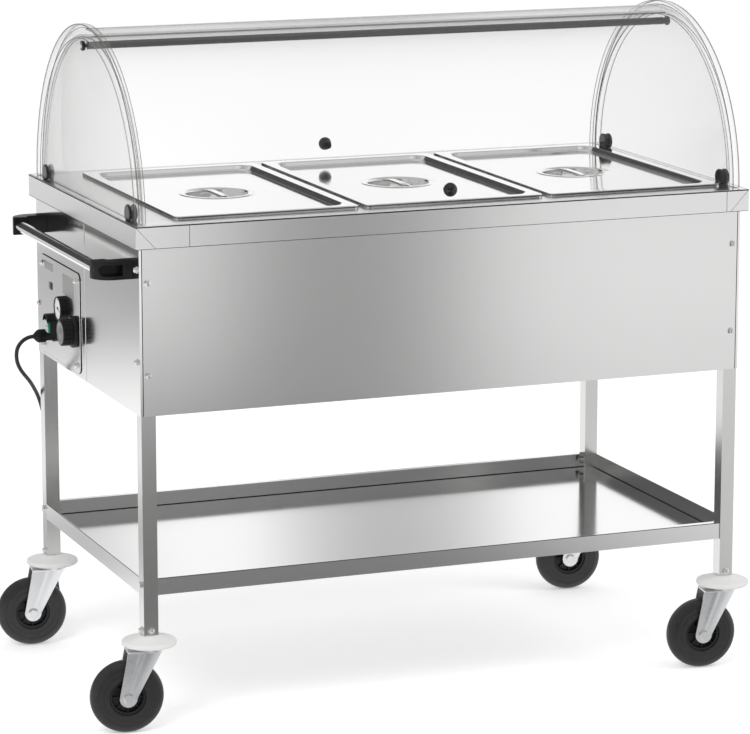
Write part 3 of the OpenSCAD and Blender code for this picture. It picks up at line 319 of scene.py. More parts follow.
def zinc(name, tone):
    """Bright zinc plate: pale, faintly blue, mottled, with duller patches."""
    f = Finish(name)
    flake = f.node("TexVoronoi", inputs={"Vector": f.place(), "Scale": 260.0}, out="Color")
    mottle = f.noise(45, 5, 0.65)
    grey = f.node("SeparateColor", inputs={"Color": flake}, out="Red")
    colour = f.mixed((mottle * 0.7 + grey * 0.3).clamped(), tuple(c * 0.86 for c in tone), tone)
    rough = 0.3 + (mottle - 0.5) * 0.3 + grey * 0.05
    return f.surface(
        base_color=colour, metallic=0.9, roughness=rough.clamped(), normal=f.bump(mottle, 0.03)
    )


def moulded(name, tone, roughness, speck=900.0, relief=0.02, wear=1.6, gloss=0.5):
    """Moulded plastic: a fine spark-eroded grain, soft blotches, and paler rubbed edges."""
    f = Finish(name)
    pores = f.noise(speck, 2, 0.5)
    blotch = f.noise(22, 3, 0.6)
    edge = f.worn()
    pale = tuple(min(c * wear + 0.01, 1) for c in tone)
    colour = f.mixed((blotch * 0.35 + edge * 0.3).clamped(), tone, pale)
    rough = roughness + (pores - 0.5) * 0.16 + (blotch - 0.5) * 0.12
    return f.surface(
        base_color=colour, roughness=rough.clamped(), normal=f.bump(pores, relief),
        specular_ior_level=gloss,
    )


def tyre_rubber():
    """Dark grey rubber, dusty and scuffed."""
    f = Finish("tyre_rubber")
    dust = f.noise(60, 5, 0.7)
    scuff = f.noise(420, 3, 0.6)
    colour = f.mixed((dust * 0.9 - 0.15).clamped(), (0.011, 0.011, 0.012), (0.034, 0.034, 0.036))
    rough = 0.4 + (scuff - 0.5) * 0.3
    return f.surface(
        base_color=colour, roughness=rough.clamped(), normal=f.bump(scuff, 0.04)
    )


def clear_acrylic(name, tone, haze, glint, roughness=0.04, painted_reflection_bands=0.0):
    """Clear sheet: what lies behind shows through, with a tint, and it shines at a slant; soft
    bands of painted reflection run along it.
    """
    f = Finish(name)
    swirl = f.noise(6, 3, 0.5)
    reflection_band_noise = f.noise(1.6, 1, 0.4, (1, 0.3, 0.3))
    turned_away = f.node("LayerWeight", inputs={"Blend": 0.5}, out="Facing")
    slant = f.maths("POWER", turned_away, 4.5)
    # Painted reflection: low bands along the sheet stand for soft reflections in it
    alpha = (slant * glint + haze + (swirl - 0.5) * 0.01 + (reflection_band_noise - 0.5) * painted_reflection_bands).clamped()
    return f.surface(base_color=tone, roughness=roughness, ior=1.49, alpha=alpha)


materials = {
    "sheet_steel": brushed("sheet_steel", (0.86, 0.86, 0.85), 0.24),
    "frame_steel": brushed("frame_steel", (0.74, 0.74, 0.73), 0.24, 0.05, "upright"),
    "pan_steel": brushed("pan_steel", (0.93, 0.93, 0.92), 0.09, 0.03, "flat", 0.0006),
    "bright_metal": polished("bright_metal", (0.86, 0.86, 0.85), 0.1),
    "heater_metal": brushed("heater_metal", (0.42, 0.38, 0.34), 0.42, 0.12),
    "zinc_steel": zinc("zinc_steel", (0.84, 0.85, 0.86)),
    "clear_acrylic": clear_acrylic("clear_acrylic", (0.28, 0.28, 0.275), 0.022, 0.9, painted_reflection_bands=0.06),
    "black_plastic": moulded("black_plastic", (0.006, 0.006, 0.007), 0.34, gloss=0.22),
    "white_plastic": moulded("white_plastic", (0.82, 0.82, 0.80), 0.35, wear=1.0),
    "bumper_plastic": moulded("bumper_plastic", (0.78, 0.78, 0.77), 0.5, wear=1.05),
    "hub_plastic": moulded("hub_plastic", (0.010, 0.010, 0.011), 0.4, gloss=0.35),
    "tan_plastic": moulded("tan_plastic", (0.45, 0.33, 0.2), 0.5, wear=1.2),
    "green_plastic": moulded("green_plastic", (0.02, 0.22, 0.15), 0.25, wear=1.2),
    "lamp_plastic": moulded("lamp_plastic", (0.03, 0.035, 0.032), 0.15),
    "label_metal": brushed("label_metal", (0.50, 0.50, 0.49), 0.45, 0.06),
    "lead_rubber": moulded("lead_rubber", (0.013, 0.013, 0.013), 0.42, 500.0),
    "tyre_rubber": tyre_rubber(),
}
extra = {
    "rim_line": clear_acrylic("rim_line", (0.13, 0.13, 0.13), 0.5, 0.5, 0.1),
    "shelf_steel": brushed("shelf_steel", (0.88, 0.88, 0.87), 0.12, 0.03, rim=0.1),
    "end_steel": brushed("end_steel", (0.86, 0.86, 0.85), 0.15),
    # The same sheet steel in a darker tone: painted shade, so the back panel comes out less white
    "back_steel": brushed("back_steel", (0.76, 0.76, 0.75), 0.24),
    "knob_plastic": moulded("knob_plastic", (0.006, 0.006, 0.007), 0.1, gloss=0.6),
    "sawn_edge": clear_acrylic("sawn_edge", (0.10, 0.10, 0.10), 0.55, 0.4, 0.2),
    "end_acrylic": clear_acrylic("end_acrylic", (0.28, 0.28, 0.27), 0.03, 0.8),
    "spun_metal": polished("spun_metal", (0.30, 0.30, 0.30), 0.3),
    # Polished steel painted dark, standing in for the dark it reflects
    "dark_metal": polished("dark_metal", (0.10, 0.10, 0.10), 0.12),
    # Dark for the joints between sheets, and for the painted shade lines on the shelf and round the
    # lids
    "joint_dark": moulded("joint_dark", (0.01, 0.01, 0.01), 0.7, wear=1.2, gloss=0.1),
    # Pale colour for the painted highlight on the rocker's front
    "rocker_white": moulded("rocker_white", (0.55, 0.56, 0.55), 0.35, wear=1.0),
}

for name, node in frame["nodes"].items():
    for place in node.material_slots:
        place.material = materials.get(place.material.name, place.material)
lead.data.materials.append(materials["lead_rubber"])

body_of_node = {
    node: body for body, nodes in frame["record"]["behaviour"]["bodies"].items() for node in nodes
}


# Mesh helpers
def finished(name, mesh, body, slot, nodes=(), material=None, smooth=35, flat=False):
    """Links a mesh as a piece on a body, in place of the nodes that it stands for."""
    piece = bpy.data.objects.new(name, mesh)
    bpy.context.scene.collection.objects.link(piece)
    mesh.materials.clear()
    mesh.materials.append(material or materials[slot])
    for polygon in mesh.polygons:
        polygon.use_smooth = True
    mesh.set_sharp_from_angle(angle=math.radians(smooth))
    if flat:
        even = piece.modifiers.new("even", "WEIGHTED_NORMAL")
        even.weight = 100
        even.keep_sharp = True
    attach(piece, body)
    if nodes:
        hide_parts(*nodes)
    return piece


class Shape:
    """A solid in the making. Its points are in millimetres from the middle of the top."""

    def __init__(self, source=None):
        self.bm = bmesh.new()
        if source is not None:
            self.bm.from_mesh(source)
        self.edge = self.bm.faces.layers.float.new("edge")

    def skin(self, rings, caps=True, looped=False):
        """Faces between rings of points, each with as many points as the next."""
        made = [[self.bm.verts.new(at(*p)) for p in ring] for ring in rings]
        pairs = list(zip(made, made[1:])) + ([(made[-1], made[0])] if looped else [])
        for first, second in pairs:
            for k in range(len(first)):
                n = (k + 1) % len(first)
                self.bm.faces.new((first[k], first[n], second[n], second[k]))
        if caps and not looped:
            self.bm.faces.new(made[0][::-1])
            self.bm.faces.new(made[-1])
        return self.tidied()

    def tidied(self):
        bmesh.ops.remove_doubles(self.bm, verts=self.bm.verts, dist=1e-6)
        bmesh.ops.dissolve_degenerate(self.bm, edges=self.bm.edges, dist=1e-7)
        bmesh.ops.recalc_face_normals(self.bm, faces=self.bm.faces)
        return self

    def turned(self, profile, origin, axis, steps=64, looped=False):
        """A profile of (distance along the axis, radius) turned round the axis."""
        axis = Vector(axis).normalized()
        u = axis.orthogonal().normalized()
        v = axis.cross(u)
        origin = Vector(origin)
        rings = []
        for along, r in profile:
            middle = origin + axis * along
            rings.append([
                middle + r * (u * math.cos(turn) + v * math.sin(turn))
                for turn in (math.tau * k / steps for k in range(steps))
            ])
        return self.skin(rings, looped=looped)

    def prism(self, outline, origin, u, v, depth):
        """An outline of (u, v) points, as deep as the vector says."""
        u, v, depth, origin = Vector(u), Vector(v), Vector(depth), Vector(origin)
        ring = [origin + u * a + v * b for a, b in outline]
        return self.skin([ring, [p + depth for p in ring]])

    def block(self, low, high):
        (x0, y0, z0), (x1, y1, z1) = low, high
        ring = [(x0, y0), (x1, y0), (x1, y1), (x0, y1)]
        return self.skin([[(x, y, z) for x, y in ring] for z in (z0, z1)])

    def rounded(self, width, segments=2, sharper=35):
        """Rounds every edge that is sharper than an angle, and marks the new faces."""
        sharp = [
            e for e in self.bm.edges
            if len(e.link_faces) == 2 and e.calc_face_angle(0) > math.radians(sharper)
        ]
        made = bmesh.ops.bevel(
            self.bm, geom=sharp, offset=width * MM, segments=segments, profile=0.5,
            affect="EDGES", clamp_overlap=True,
        )
        for face in made["faces"]:
            if face.is_valid:
                face[self.edge] = 1.0
        return self

    def thickened(self, depth):
        """Gives an open sheet its thickness, on the side away from its normals."""
        bmesh.ops.solidify(self.bm, geom=self.bm.faces[:], thickness=depth * MM)
        return self.tidied()

    def cut(self, *others):
        """Takes other solids away from this one."""
        mesh = self.to_mesh("cut")
        holder = bpy.data.objects.new("cut", mesh)
        bpy.context.scene.collection.objects.link(holder)
        tools = []
        for other in others:
            tool = bpy.data.objects.new("tool", other.to_mesh("tool"))
            bpy.context.scene.collection.objects.link(tool)
            tools.append(tool)
            step = holder.modifiers.new("cut", "BOOLEAN")
            step.operation, step.solver, step.object = "DIFFERENCE", "EXACT", tool
        graph = bpy.context.evaluated_depsgraph_get()
        result = bpy.data.meshes.new_from_object(holder.evaluated_get(graph))
        for used in (holder, *tools):
            data = used.data
            bpy.data.objects.remove(used)
            bpy.data.meshes.remove(data)
        self.bm = bmesh.new()
        self.bm.from_mesh(result)
        layers = self.bm.faces.layers.float
        self.edge = layers.get("edge") or layers.new("edge")
        bpy.data.meshes.remove(result)
        return self

    def to_mesh(self, name):
        mesh = bpy.data.meshes.new(name)
        self.bm.to_mesh(mesh)
        self.bm.free()
        return mesh


def piece(name, shapes, slot, nodes, body=None, material=None, smooth=35, flat=False):
    """One piece of one or more shapes, on the body of the nodes that it stands for."""
    whole = bmesh.new()
    for shape in shapes:
        part = shape.to_mesh("part")
        whole.from_mesh(part)
        bpy.data.meshes.remove(part)
    mesh = bpy.data.meshes.new(name)
    whole.to_mesh(mesh)
    whole.free()
    return finished(name, mesh, body or body_of_node[nodes[0]], slot, nodes, material, smooth, flat)


def softened(node, slot, width=0.8, segments=2, material=None, sharper=35):
    """A node's own shape with its edges rounded off."""
    shape = Shape(frame["nodes"][node].data).tidied()
    bmesh.ops.dissolve_limit(
        shape.bm, angle_limit=math.radians(0.5), verts=shape.bm.verts, edges=shape.bm.edges
    )
    shape.rounded(width, segments, sharper)
    return piece(node + "_rounded", [shape], slot, [node], material=material, flat=True)


def round_ring(half_x, half_y, r, middle, z, per_corner=12):
    """Points round a rectangle with round corners, or round a circle where both halves are r."""
    ring = []
    for k, (sx, sy) in enumerate(((1, 1), (-1, 1), (-1, -1), (1, -1))):
        for n in range(per_corner):
            angle = math.pi / 2 * (k + (n + 0.5) / per_corner)
            ring.append((
                middle[0] + sx * (half_x - r) + r * math.cos(angle),
                middle[1] + sy * (half_y - r) + r * math.sin(angle), z,
            ))
    return ring


def arc(centre, r, start, end, steps):
    """Points on an arc in a plane, its angles in degrees."""
    return [
        (centre[0] + r * math.cos(math.radians(a)), centre[1] + r * math.sin(math.radians(a)))
        for a in (start + (end - start) * k / steps for k in range(steps + 1))
    ]


# Body and frame
# The back panel takes sheet steel painted darker as shade
for node, steel in (
    ("front_panel", None), ("top_frame", None), ("pan_rails", None), ("bottom_plate", None),
    ("back_panel", "back_steel"), ("left_panel", "end_steel"), ("right_panel", "end_steel"),
    ("shelf_tray", "shelf_steel"),
):
    softened(node, "sheet_steel", 0.4, material=extra.get(steel))


def shelf_shade_lines():
    """Painted shade lines: in the creases at the foot of the back and right rims, and along the top
    edges of the front and left rims.
    """
    low, high = span("shelf_tray")
    legs_in = span("leg_front_right")[0]
    half_x, half_y = legs_in.x, -span("leg_front_right")[1].y
    wall, out, into = 1.2, 0.06, 0.3
    foot = low.z + wall
    fold_y, fold_x = high.y - wall, high.x - wall
    # Painted shade: crease lines at the rims' feet and the shadow under the front and left lips
    lines = [
        Shape().block((-half_x, fold_y - 0.4, foot), (half_x, fold_y + 0.2, foot + 1.1)),
        Shape().block((-half_x, low.y - out, high.z - 1.3), (half_x, low.y + into, high.z - 0.2)),
        Shape().block((fold_x - 0.4, -half_y, foot), (fold_x + 0.2, half_y, foot + 1.1)),
        Shape().block((low.x - out, -half_y, high.z - 1.1), (low.x + into, half_y, high.z - 0.1)),
    ]
    return piece("shelf_folds", lines, "black_plastic", [], "trolley", extra["joint_dark"])


shelf_shade_lines()
softened("control_cover", "sheet_steel", 0.5, material=extra["end_steel"])
softened("blank_plates", "label_metal", 0.15)
corners = ("front_left", "front_right", "back_left", "back_right")
for corner in corners:
    softened("leg_" + corner, "frame_steel", 1.2)

leg_low, leg_high = span("leg_front_left")
leg = leg_high.x - leg_low.x
leg_x = -(leg_low.x + leg_high.x) / 2
leg_y = -(leg_low.y + leg_high.y) / 2
leg_z = leg_low.z


# Small domed nuts on the outside of the body, the legs and the cover
panel_nuts_z = (762, 608)
side_nuts_z = (783, 629)
foot_nut_z = leg_z + 8
cover_nuts_y = (52, 256)
cover_nuts_z = (559, 707)


def domed_nut(place, axis):
    """A hexagon with a round washer below it and a dome on it, seated at a place."""
    washer = Shape().turned([(0, 6.2), (0.6, 6.2), (0.9, 5.8)], place, axis, 32)
    hexagon = Shape().turned([(0.8, 5.4), (2.8, 5.4), (3.2, 4.9)], place, axis, 6)
    foot, rise, r = 2.8, 3.4, 4.3
    dome = [
        (foot + rise * math.sin(turn), r * math.cos(turn))
        for turn in (k * math.pi / 16 for k in range(9))
    ]
    return [washer, hexagon, Shape().turned([(1.5, r), *dome], place, axis, 24)]


def body_nuts():
    nuts = []
    for sx in (-1, 1):
        for sy in (-1, 1):
            for z in panel_nuts_z:
                nuts += domed_nut((sx * leg_x, sy * side_y, z), (0, sy, 0))
            for z in side_nuts_z:
                nuts += domed_nut((sx * end_x, sy * leg_y, z), (sx, 0, 0))
            nuts += domed_nut((sx * leg_x, sy * (leg_y + leg / 2), foot_nut_z), (0, sy, 0))
            nuts += domed_nut((sx * (leg_x + leg / 2), sy * leg_y, foot_nut_z), (sx, 0, 0))
    for y in cover_nuts_y:
        for z in cover_nuts_z:
            nuts += domed_nut((cover_x, y, z), (-1, 0, 0))
    return piece("domed_nuts", nuts, "bright_metal", ["body_screws"])


body_nuts()

# Joints between the sheets
seam_xs = (-463, 513)
seam_w = 0.7
mitre_top_x = 555
mitre_foot_x = 521
mitre_w = 0.8
end_seam_y = 6.7


def joint_and_shadow_lines():
    """The dark joints between sheets: round the top, at its mitres and seams, and on the body; and
    a painted shadow line under the skirt's lower edge.
    """
    low, high = span("top_frame")
    out, into = 0.06, 0.3
    lines = []
    # The first band is the joint round the top; the second is painted shadow under the skirt's
    # lower edge
    for z0, z1 in ((top_z - 2.3, top_z - 0.4), (skirt_z + 0.1, skirt_z + 0.9)):
        for x0, x1 in ((low.x - out, low.x + into), (high.x - into, high.x + out)):
            lines.append(Shape().block((x0, low.y - out, z0), (x1, high.y + out, z1)))
        for y0, y1 in ((low.y - out, low.y + into), (high.y - into, high.y + out)):
            lines.append(Shape().block((low.x, y0, z0), (high.x, y1, z1)))
    for sy in (-1, 1):
        face = sy * (high.y + out)
        y0, y1 = sorted((face, face - sy * into))
        for x in seam_xs:
            lines.append(Shape().block((x, y0, skirt_z), (x + seam_w, y1, top_z - 1)))
        for sx in (-1, 1):
            lines.append(Shape().prism(
                [(mitre_top_x, top_z - 1), (mitre_foot_x, skirt_z),
                 (mitre_foot_x - mitre_w, skirt_z), (mitre_top_x - mitre_w, top_z - 1)],
                (0, face, 0), (sx, 0, 0), (0, 0, 1), (0, -sy * into, 0),
            ))
        side = sy * (side_y + out)
        y0, y1 = sorted((side, side - sy * into))
        for x in (panel_low.x, panel_high.x):
            lines.append(Shape().block((x - 0.6, y0, body_z + 0.5), (x + 0.6, y1, skirt_z)))
    lines.append(Shape().block(
        (-end_x - out, end_seam_y - 2, body_z), (-end_x + into, end_seam_y - 1.1, skirt_z)
    ))
    return piece("sheet_joints", lines, "black_plastic", [], "trolley", extra["joint_dark"])


def end_fold():
    """The thin bright fold beside the dark line on the left end."""
    r, short = 1.1, 0.5
    fold = Shape().turned(
        [(body_z + short, r), (skirt_z - short, r)], (-end_x + 0.5, end_seam_y, 0), (0, 0, 1), 24
    )
    return piece("end_seam_fold", [fold], "bright_metal", [], "trolley")


joint_and_shadow_lines()
end_fold()


# Lids
lid_t = 0.8
field_drop = 8
dish_drop = 28
grip_ring_r = 65.5
dish_r = 54
bar_half = 8


def lid(node):
    """A pressed lid: turned-down rim, sunk field, and a round dish with a bar across it.

    A line of painted shade runs round its edge.
    """
    low, high = span(node)
    middle = ((low.x + high.x) / 2, (low.y + high.y) / 2)
    half_x, half_y = (high.x - low.x) / 2, (high.y - low.y) / 2
    rim, field, dish = high.z, high.z - field_drop, high.z - dish_drop
    skirt = [
        (0, low.z, 10), (0, rim - 1.3, 10), (0.4, rim - 0.4, 10), (1.3, rim, 10),
        (16.6, rim, 27), (17.6, rim - 0.3, 26.4), (18.4, rim - 1.1, 26), (19, rim - 2.2, 25.6),
        (21.6, field + 1.9, 24), (22.2, field + 1.1, 23.6), (23.1, field + 0.45, 23),
        (24.2, field + 0.1, 22.2), (25.5, field, 21.5), (27.5, field, 20.5),
    ]
    bowl = [
        (grip_ring_r + 3, field), (grip_ring_r + 1, field), (grip_ring_r, field + 0.3),
        (grip_ring_r - 1.5, field + 0.9), (grip_ring_r - 3.5, field + 1.1),
        (dish_r + 3, field + 1.1), (dish_r + 1.2, field + 0.6),
        (dish_r + 0.3, field - 0.6), (dish_r - 0.2, field - 3), (dish_r - 1.2, field - 9),
        (dish_r - 4, field - 14.5), (dish_r - 9, field - 18), (dish_r - 17, field - 19.5),
        (dish_r - 34, dish + 0.2), (1, dish),
    ]
    rings = [round_ring(half_x - a, half_y - a, r, middle, z) for a, z, r in skirt]
    rings += [round_ring(r, r, r, middle, z) for r, z in bowl]
    sheet = Shape().skin(rings, caps=False)
    centre = [v for v in sheet.bm.verts if (v.co - at(*middle, dish)).length < 2 * MM]
    sheet.bm.faces.new(sorted(
        centre, key=lambda v: math.atan2(v.co.y - at(*middle, 0).y, v.co.x - at(*middle, 0).x)
    ))
    bmesh.ops.recalc_face_normals(sheet.bm, faces=sheet.bm.faces)
    if sum(f.normal.z for f in sheet.bm.faces) < 0:
        bmesh.ops.reverse_faces(sheet.bm, faces=sheet.bm.faces)
    sheet.thickened(lid_t)
    bar = []
    for k in range(13):
        share = k / 6 - 1
        lift = 1.0 - 3.4 * share ** 4
        bar.append([
            (middle[0] + bar_half * math.copysign(abs(math.cos(a)) ** 0.5, math.cos(a)),
             middle[1] + share * (dish_r - 0.5),
             field - 1.2 + lift + 2.2 * math.copysign(abs(math.sin(a)) ** 0.8, math.sin(a)))
            for a in (math.tau * (n + 0.5) / 20 for n in range(20))
        ])
    piece(node + "_pressed", [sheet, Shape().skin(bar)], "pan_steel", [node], smooth=50, flat=True)
    # Painted shade in the gap round the lid's edge
    line = [
        round_ring(half_x + a, half_y + a, 10, middle, rim - drop)
        for a, drop in ((-0.3, 2.9), (0.08, 2.9), (0.08, 1.5), (-0.3, 1.5))
    ]
    return piece(
        node + "_edge_line", [Shape().skin(line, looped=True)], "black_plastic", [],
        body_of_node[node], extra["joint_dark"],
    )


for node in ("lid_left", "lid_middle", "lid_right"):
    lid(node)


# Dome
dome_r = 297
wall_out = 542
wall_in = 537
rim_out = 545
rim_in = 532
arch_r = 272
front_r = 289.5
back_r = 278.5
flap_t = 3
flap_end = 535.5
flap_from = 0.8
flap_to = 92.8


def on_arch(angle, r, x, sy=-1):
    """A place on the arch: the angle climbs from the foot on one side over to the other."""
    turn = math.radians(angle)
    return (x, sy * r * math.cos(turn), top_z + r * math.sin(turn))


def flap(name, node, r, sy):
    """A clear sheet bent round the arch, with its sawn edges rounded."""
    outline = [
        (-flap_end + 0.4, r), (flap_end - 0.4, r),
        (flap_end, r - 0.4), (flap_end, r - flap_t + 0.4),
        (flap_end - 0.4, r - flap_t), (-flap_end + 0.4, r - flap_t),
        (-flap_end, r - flap_t + 0.4), (-flap_end, r - 0.4),
    ]
    steps = 96
    rings = [
        [on_arch(flap_from + (flap_to - flap_from) * k / steps, q, x, sy) for x, q in outline]
        for k in range(steps + 1)
    ]
    return piece(name, [Shape().skin(rings)], "clear_acrylic", [node])


def dome_end(name, node, sx):
    """A flat clear wall in a deep rim, with the two guide grooves in the rim's inner side."""
    def groove(r):
        inner, outer, deep = r - flap_t - 0.5, r + 0.5, rim_in + 4
        return [(rim_in, inner), (deep, inner), (deep, outer), (rim_in, outer)]
    profile = [
        (wall_in, 0), (wall_in, arch_r - 1.5), (wall_in - 0.5, arch_r - 0.4),
        (wall_in - 1.6, arch_r), (rim_in + 0.6, arch_r), (rim_in, arch_r + 0.6),
        *groove(back_r), *groove(front_r),
        (rim_in, dome_r - 1), (rim_in + 1, dome_r), (rim_out - 1.4, dome_r),
        (rim_out - 0.3, dome_r - 0.5), (rim_out, dome_r - 1.4), (rim_out, arch_r + 1.5),
        (rim_out - 0.5, arch_r + 0.4), (rim_out - 1.5, arch_r), (wall_out, arch_r - 1),
        (wall_out, 0),
    ]
    steps = 120
    rings = [
        [on_arch(180 * k / steps, r, sx * x) for x, r in profile] for k in range(steps + 1)
    ]
    return piece(
        name, [Shape().skin(rings)], "clear_acrylic", [node], material=extra["end_acrylic"]
    )


def sawn_edge(name, node, r, sy):
    """The dark line of a flap's upper edge, where the sheet is seen through its thickness."""
    rings = [[
        on_arch(flap_to - 0.02, q, x, sy) for q in (r - 0.2, r - flap_t + 0.2)
    ] + [
        on_arch(flap_to + 0.06, q, x, sy) for q in (r - flap_t + 0.2, r - 0.2)
    ] for x in (-flap_end + 1, flap_end - 1)]
    return piece(
        name, [Shape().skin(rings)], "clear_acrylic", [], body_of_node[node], extra["sawn_edge"]
    )


def rim_painted_lines(name, sx):
    """Painted dark lines all round each arch, standing for how the clear rim's corners bend the
    light.
    """
    beads = []
    for r, x, thick in (
        (dome_r - 1.1, rim_out - 1.1, 1.05), (arch_r + 0.8, rim_out - 0.8, 0.75),
        (dome_r - 0.8, rim_in + 0.8, 0.6), (arch_r + 0.8, rim_in + 0.8, 0.6),
        (front_r + 0.5, rim_in + 4, 0.5), (back_r - flap_t - 0.5, rim_in + 4, 0.5),
    ):
        rings = []
        for k in range(97):
            angle = 0.3 + 179.4 * k / 96
            rings.append([
                on_arch(angle, r + thick * math.cos(a), sx * x + thick * math.sin(a))
                for a in (math.tau * n / 8 for n in range(8))
            ])
        beads.append(Shape().skin(rings))
    return piece(name, beads, "clear_acrylic", [], "trolley", extra["rim_line"])


flap("front_cover", "flap_front", front_r, -1)
flap("back_cover", "flap_back", back_r, 1)
sawn_edge("front_cover_edge", "flap_front", front_r, -1)
sawn_edge("back_cover_edge", "flap_back", back_r, 1)
dome_end("left_arch", "dome_end_left", -1)
dome_end("right_arch", "dome_end_right", 1)
rim_painted_lines("left_arch_lines", -1)
rim_painted_lines("right_arch_lines", 1)
softened("dome_clamps", "black_plastic", 1.6, 3, material=extra["knob_plastic"])

knob_profile = [
    (0, 6.5), (0.6, 7), (3, 6.4), (6, 6.6), (9, 9.2), (12, 11.2), (15, 12), (18, 11.6),
    (21, 9.4), (23, 6), (23.9, 2.5), (24, 0),
]


def flap_knob(name, node, r, sy):
    """A waisted pull knob on a flap, with its screw and a washered nut inside."""
    turn = math.radians(5.5)
    out = Vector((0, sy * math.cos(turn), math.sin(turn)))
    foot = Vector((0, 0, top_z)) + out * r
    knob = Shape().turned(knob_profile, foot, out, 48)
    screw = Shape().turned([(-flap_t - 0.1, 2), (0.1, 2)], foot, out, 24)
    nut = Shape().turned([(-5, 4.2), (-4.6, 5), (-flap_t, 5)], foot, out, 32)
    return piece(name, [knob, screw, nut], "black_plastic", [node], material=extra["knob_plastic"])


flap_knob("front_pull", "knob_front", front_r, -1)
flap_knob("back_pull", "knob_back", back_r, 1)

tie_low, tie_high = span("tie_tube")
tie_r = (tie_high.y - tie_low.y) / 2
tie_z = (tie_low.z + tie_high.z) / 2
tie_l = tie_high.x - tie_low.x
# The polished tie tube, its colour painted dark as the reflection of the dark above
piece("tie_rod", [
    Shape().turned([(0, tie_r), (tie_l, tie_r)], (tie_low.x, 0, tie_z), (1, 0, 0), 64)
], "bright_metal", ["tie_tube"], material=extra["dark_metal"])
cap_low, cap_high = span("dome_clamps")
piece("tie_bolts", [
    Shape().turned(
        [(-0.3, 4.6), (0.4, 4.6), (1.2, 4), (1.7, 2.4), (1.8, 0)], (x, 0, tie_z), (sx, 0, 0), 32
    ) for x, sx in ((cap_low.x, -1), (cap_high.x, 1))
], "bright_metal", [], "trolley")


# Handle
grip_low, grip_high = span("handle_tube")
arm_low, arm_high = span("handle_arms")
grip_r = (grip_high.x - grip_low.x) / 2
grip_x = (grip_low.x + grip_high.x) / 2
arm_z = (arm_low.z + arm_high.z) / 2
arm_half = (arm_high.z - arm_low.z) / 2
elbow_r = 34
arm_w = 28
socket_w = 25
elbow_l = 35
grip_l = grip_high.y - grip_low.y
piece("push_tube", [
    Shape().turned([(0, grip_r), (grip_l, grip_r)], (grip_x, grip_low.y, arm_z), (0, 1, 0), 64)
], "bright_metal", ["handle_tube"])


def elbow(sy):
    """A moulded elbow from the end panel round to the tube, with a recess in its outer side."""
    x0, y0 = arm_low.x, arm_high.y
    turn = (x0 + elbow_r, y0 - elbow_r)
    outline = [(-end_x, y0)] + arc(turn, elbow_r, 90, 180, 12)
    outline += [(x0, y0 - elbow_l), (x0 + socket_w, y0 - elbow_l)]
    outline += arc((x0 + socket_w + 8, y0 - elbow_l + 1), 8, 180, 90, 5)
    outline += [(-end_x, y0 - arm_w)]
    body = Shape().prism(
        outline, (0, 0, arm_z - arm_half), (1, 0, 0), (0, sy, 0), (0, 0, 2 * arm_half)
    )
    body.rounded(3.5, 4, 50)
    slot = [(38, -9.5), (38, 9.5)] + arc((9.5, 0), 9.5, 90, 270, 12)
    recess = Shape().prism(
        slot, (x0 + 8, sy * (y0 - 17), arm_z), (1, 0, 0), (0, 0, 1), (0, sy * 22, 0)
    )
    return body.cut(recess)


piece("grip_elbows", [elbow(1), elbow(-1)], "black_plastic", ["handle_arms"], smooth=40)


# Controls on the left end
knob_place = (65, 617)
gauge_place = (130, 647)
lamp_place = (209, 673)
switch_place = (198, 606)
gland_place = (227, 581)
outwards = (-1, 0, 0)


def on_cover(place, out=0):
    """A place on the cover, some way out from it."""
    return (cover_x - out, place[0], place[1])


def spoke(degrees):
    """The ways along and across a line that turns round an axis of the cover."""
    turn = math.radians(degrees)
    return Vector((0, math.cos(turn), math.sin(turn))), Vector((0, -math.sin(turn), math.cos(turn)))


def thermostat_knob():
    """A flange with a pointer line, a grip with scallops round it, and a spun metal cap."""
    reach, flange_r, grip_r, seat = 27, 27.5, 23.5, 8
    flange = Shape().turned(
        [(0.5, flange_r - 1), (1.5, flange_r), (6.2, flange_r), (7.4, flange_r - 0.9),
         (seat, flange_r - 2.2)],
        on_cover(knob_place), outwards, 96,
    )
    outline = []
    for k in range(180):
        angle = math.tau * k / 180
        dip = max(0, math.cos(angle * 18)) ** 3
        r = grip_r - 1.3 * dip
        outline.append((r * math.cos(angle), r * math.sin(angle)))
    rings = []
    for out, share in (
        (seat - 0.3, 1), (reach - 3, 0.985), (reach - 1.3, 0.96), (reach - 0.7, 0.92),
    ):
        middle = Vector(on_cover(knob_place, out))
        rings.append([middle + Vector((0, a * share, b * share)) for a, b in outline])
    grip = Shape().skin(rings)
    spindle = Shape().turned([(-12, 3), (1, 3)], on_cover(knob_place), outwards, 24)
    piece("knob_grip", [flange, grip, spindle], "black_plastic", ["thermostat_knob"], smooth=40)
    cap = Shape().turned(
        [(reach - 1, 20), (reach - 0.5, 20), (reach - 0.25, 19.6), (reach - 0.3, 16),
         (reach - 0.55, 15.4), (reach - 0.55, 8), (reach - 0.3, 7.6), (reach - 0.2, 4.4),
         (reach, 4), (reach, 0)],
        on_cover(knob_place), outwards, 64,
    )
    piece("knob_cap", [cap], "label_metal", [], "dial", extra["spun_metal"])
    line = Shape().block(
        (cover_x - seat - 0.25, knob_place[0] - 0.6, knob_place[1] + grip_r - 0.3),
        (cover_x - seat + 0.3, knob_place[0] + 0.6, knob_place[1] + flange_r - 2.5),
    )
    piece("knob_pointer", [line], "white_plastic", [], "dial")


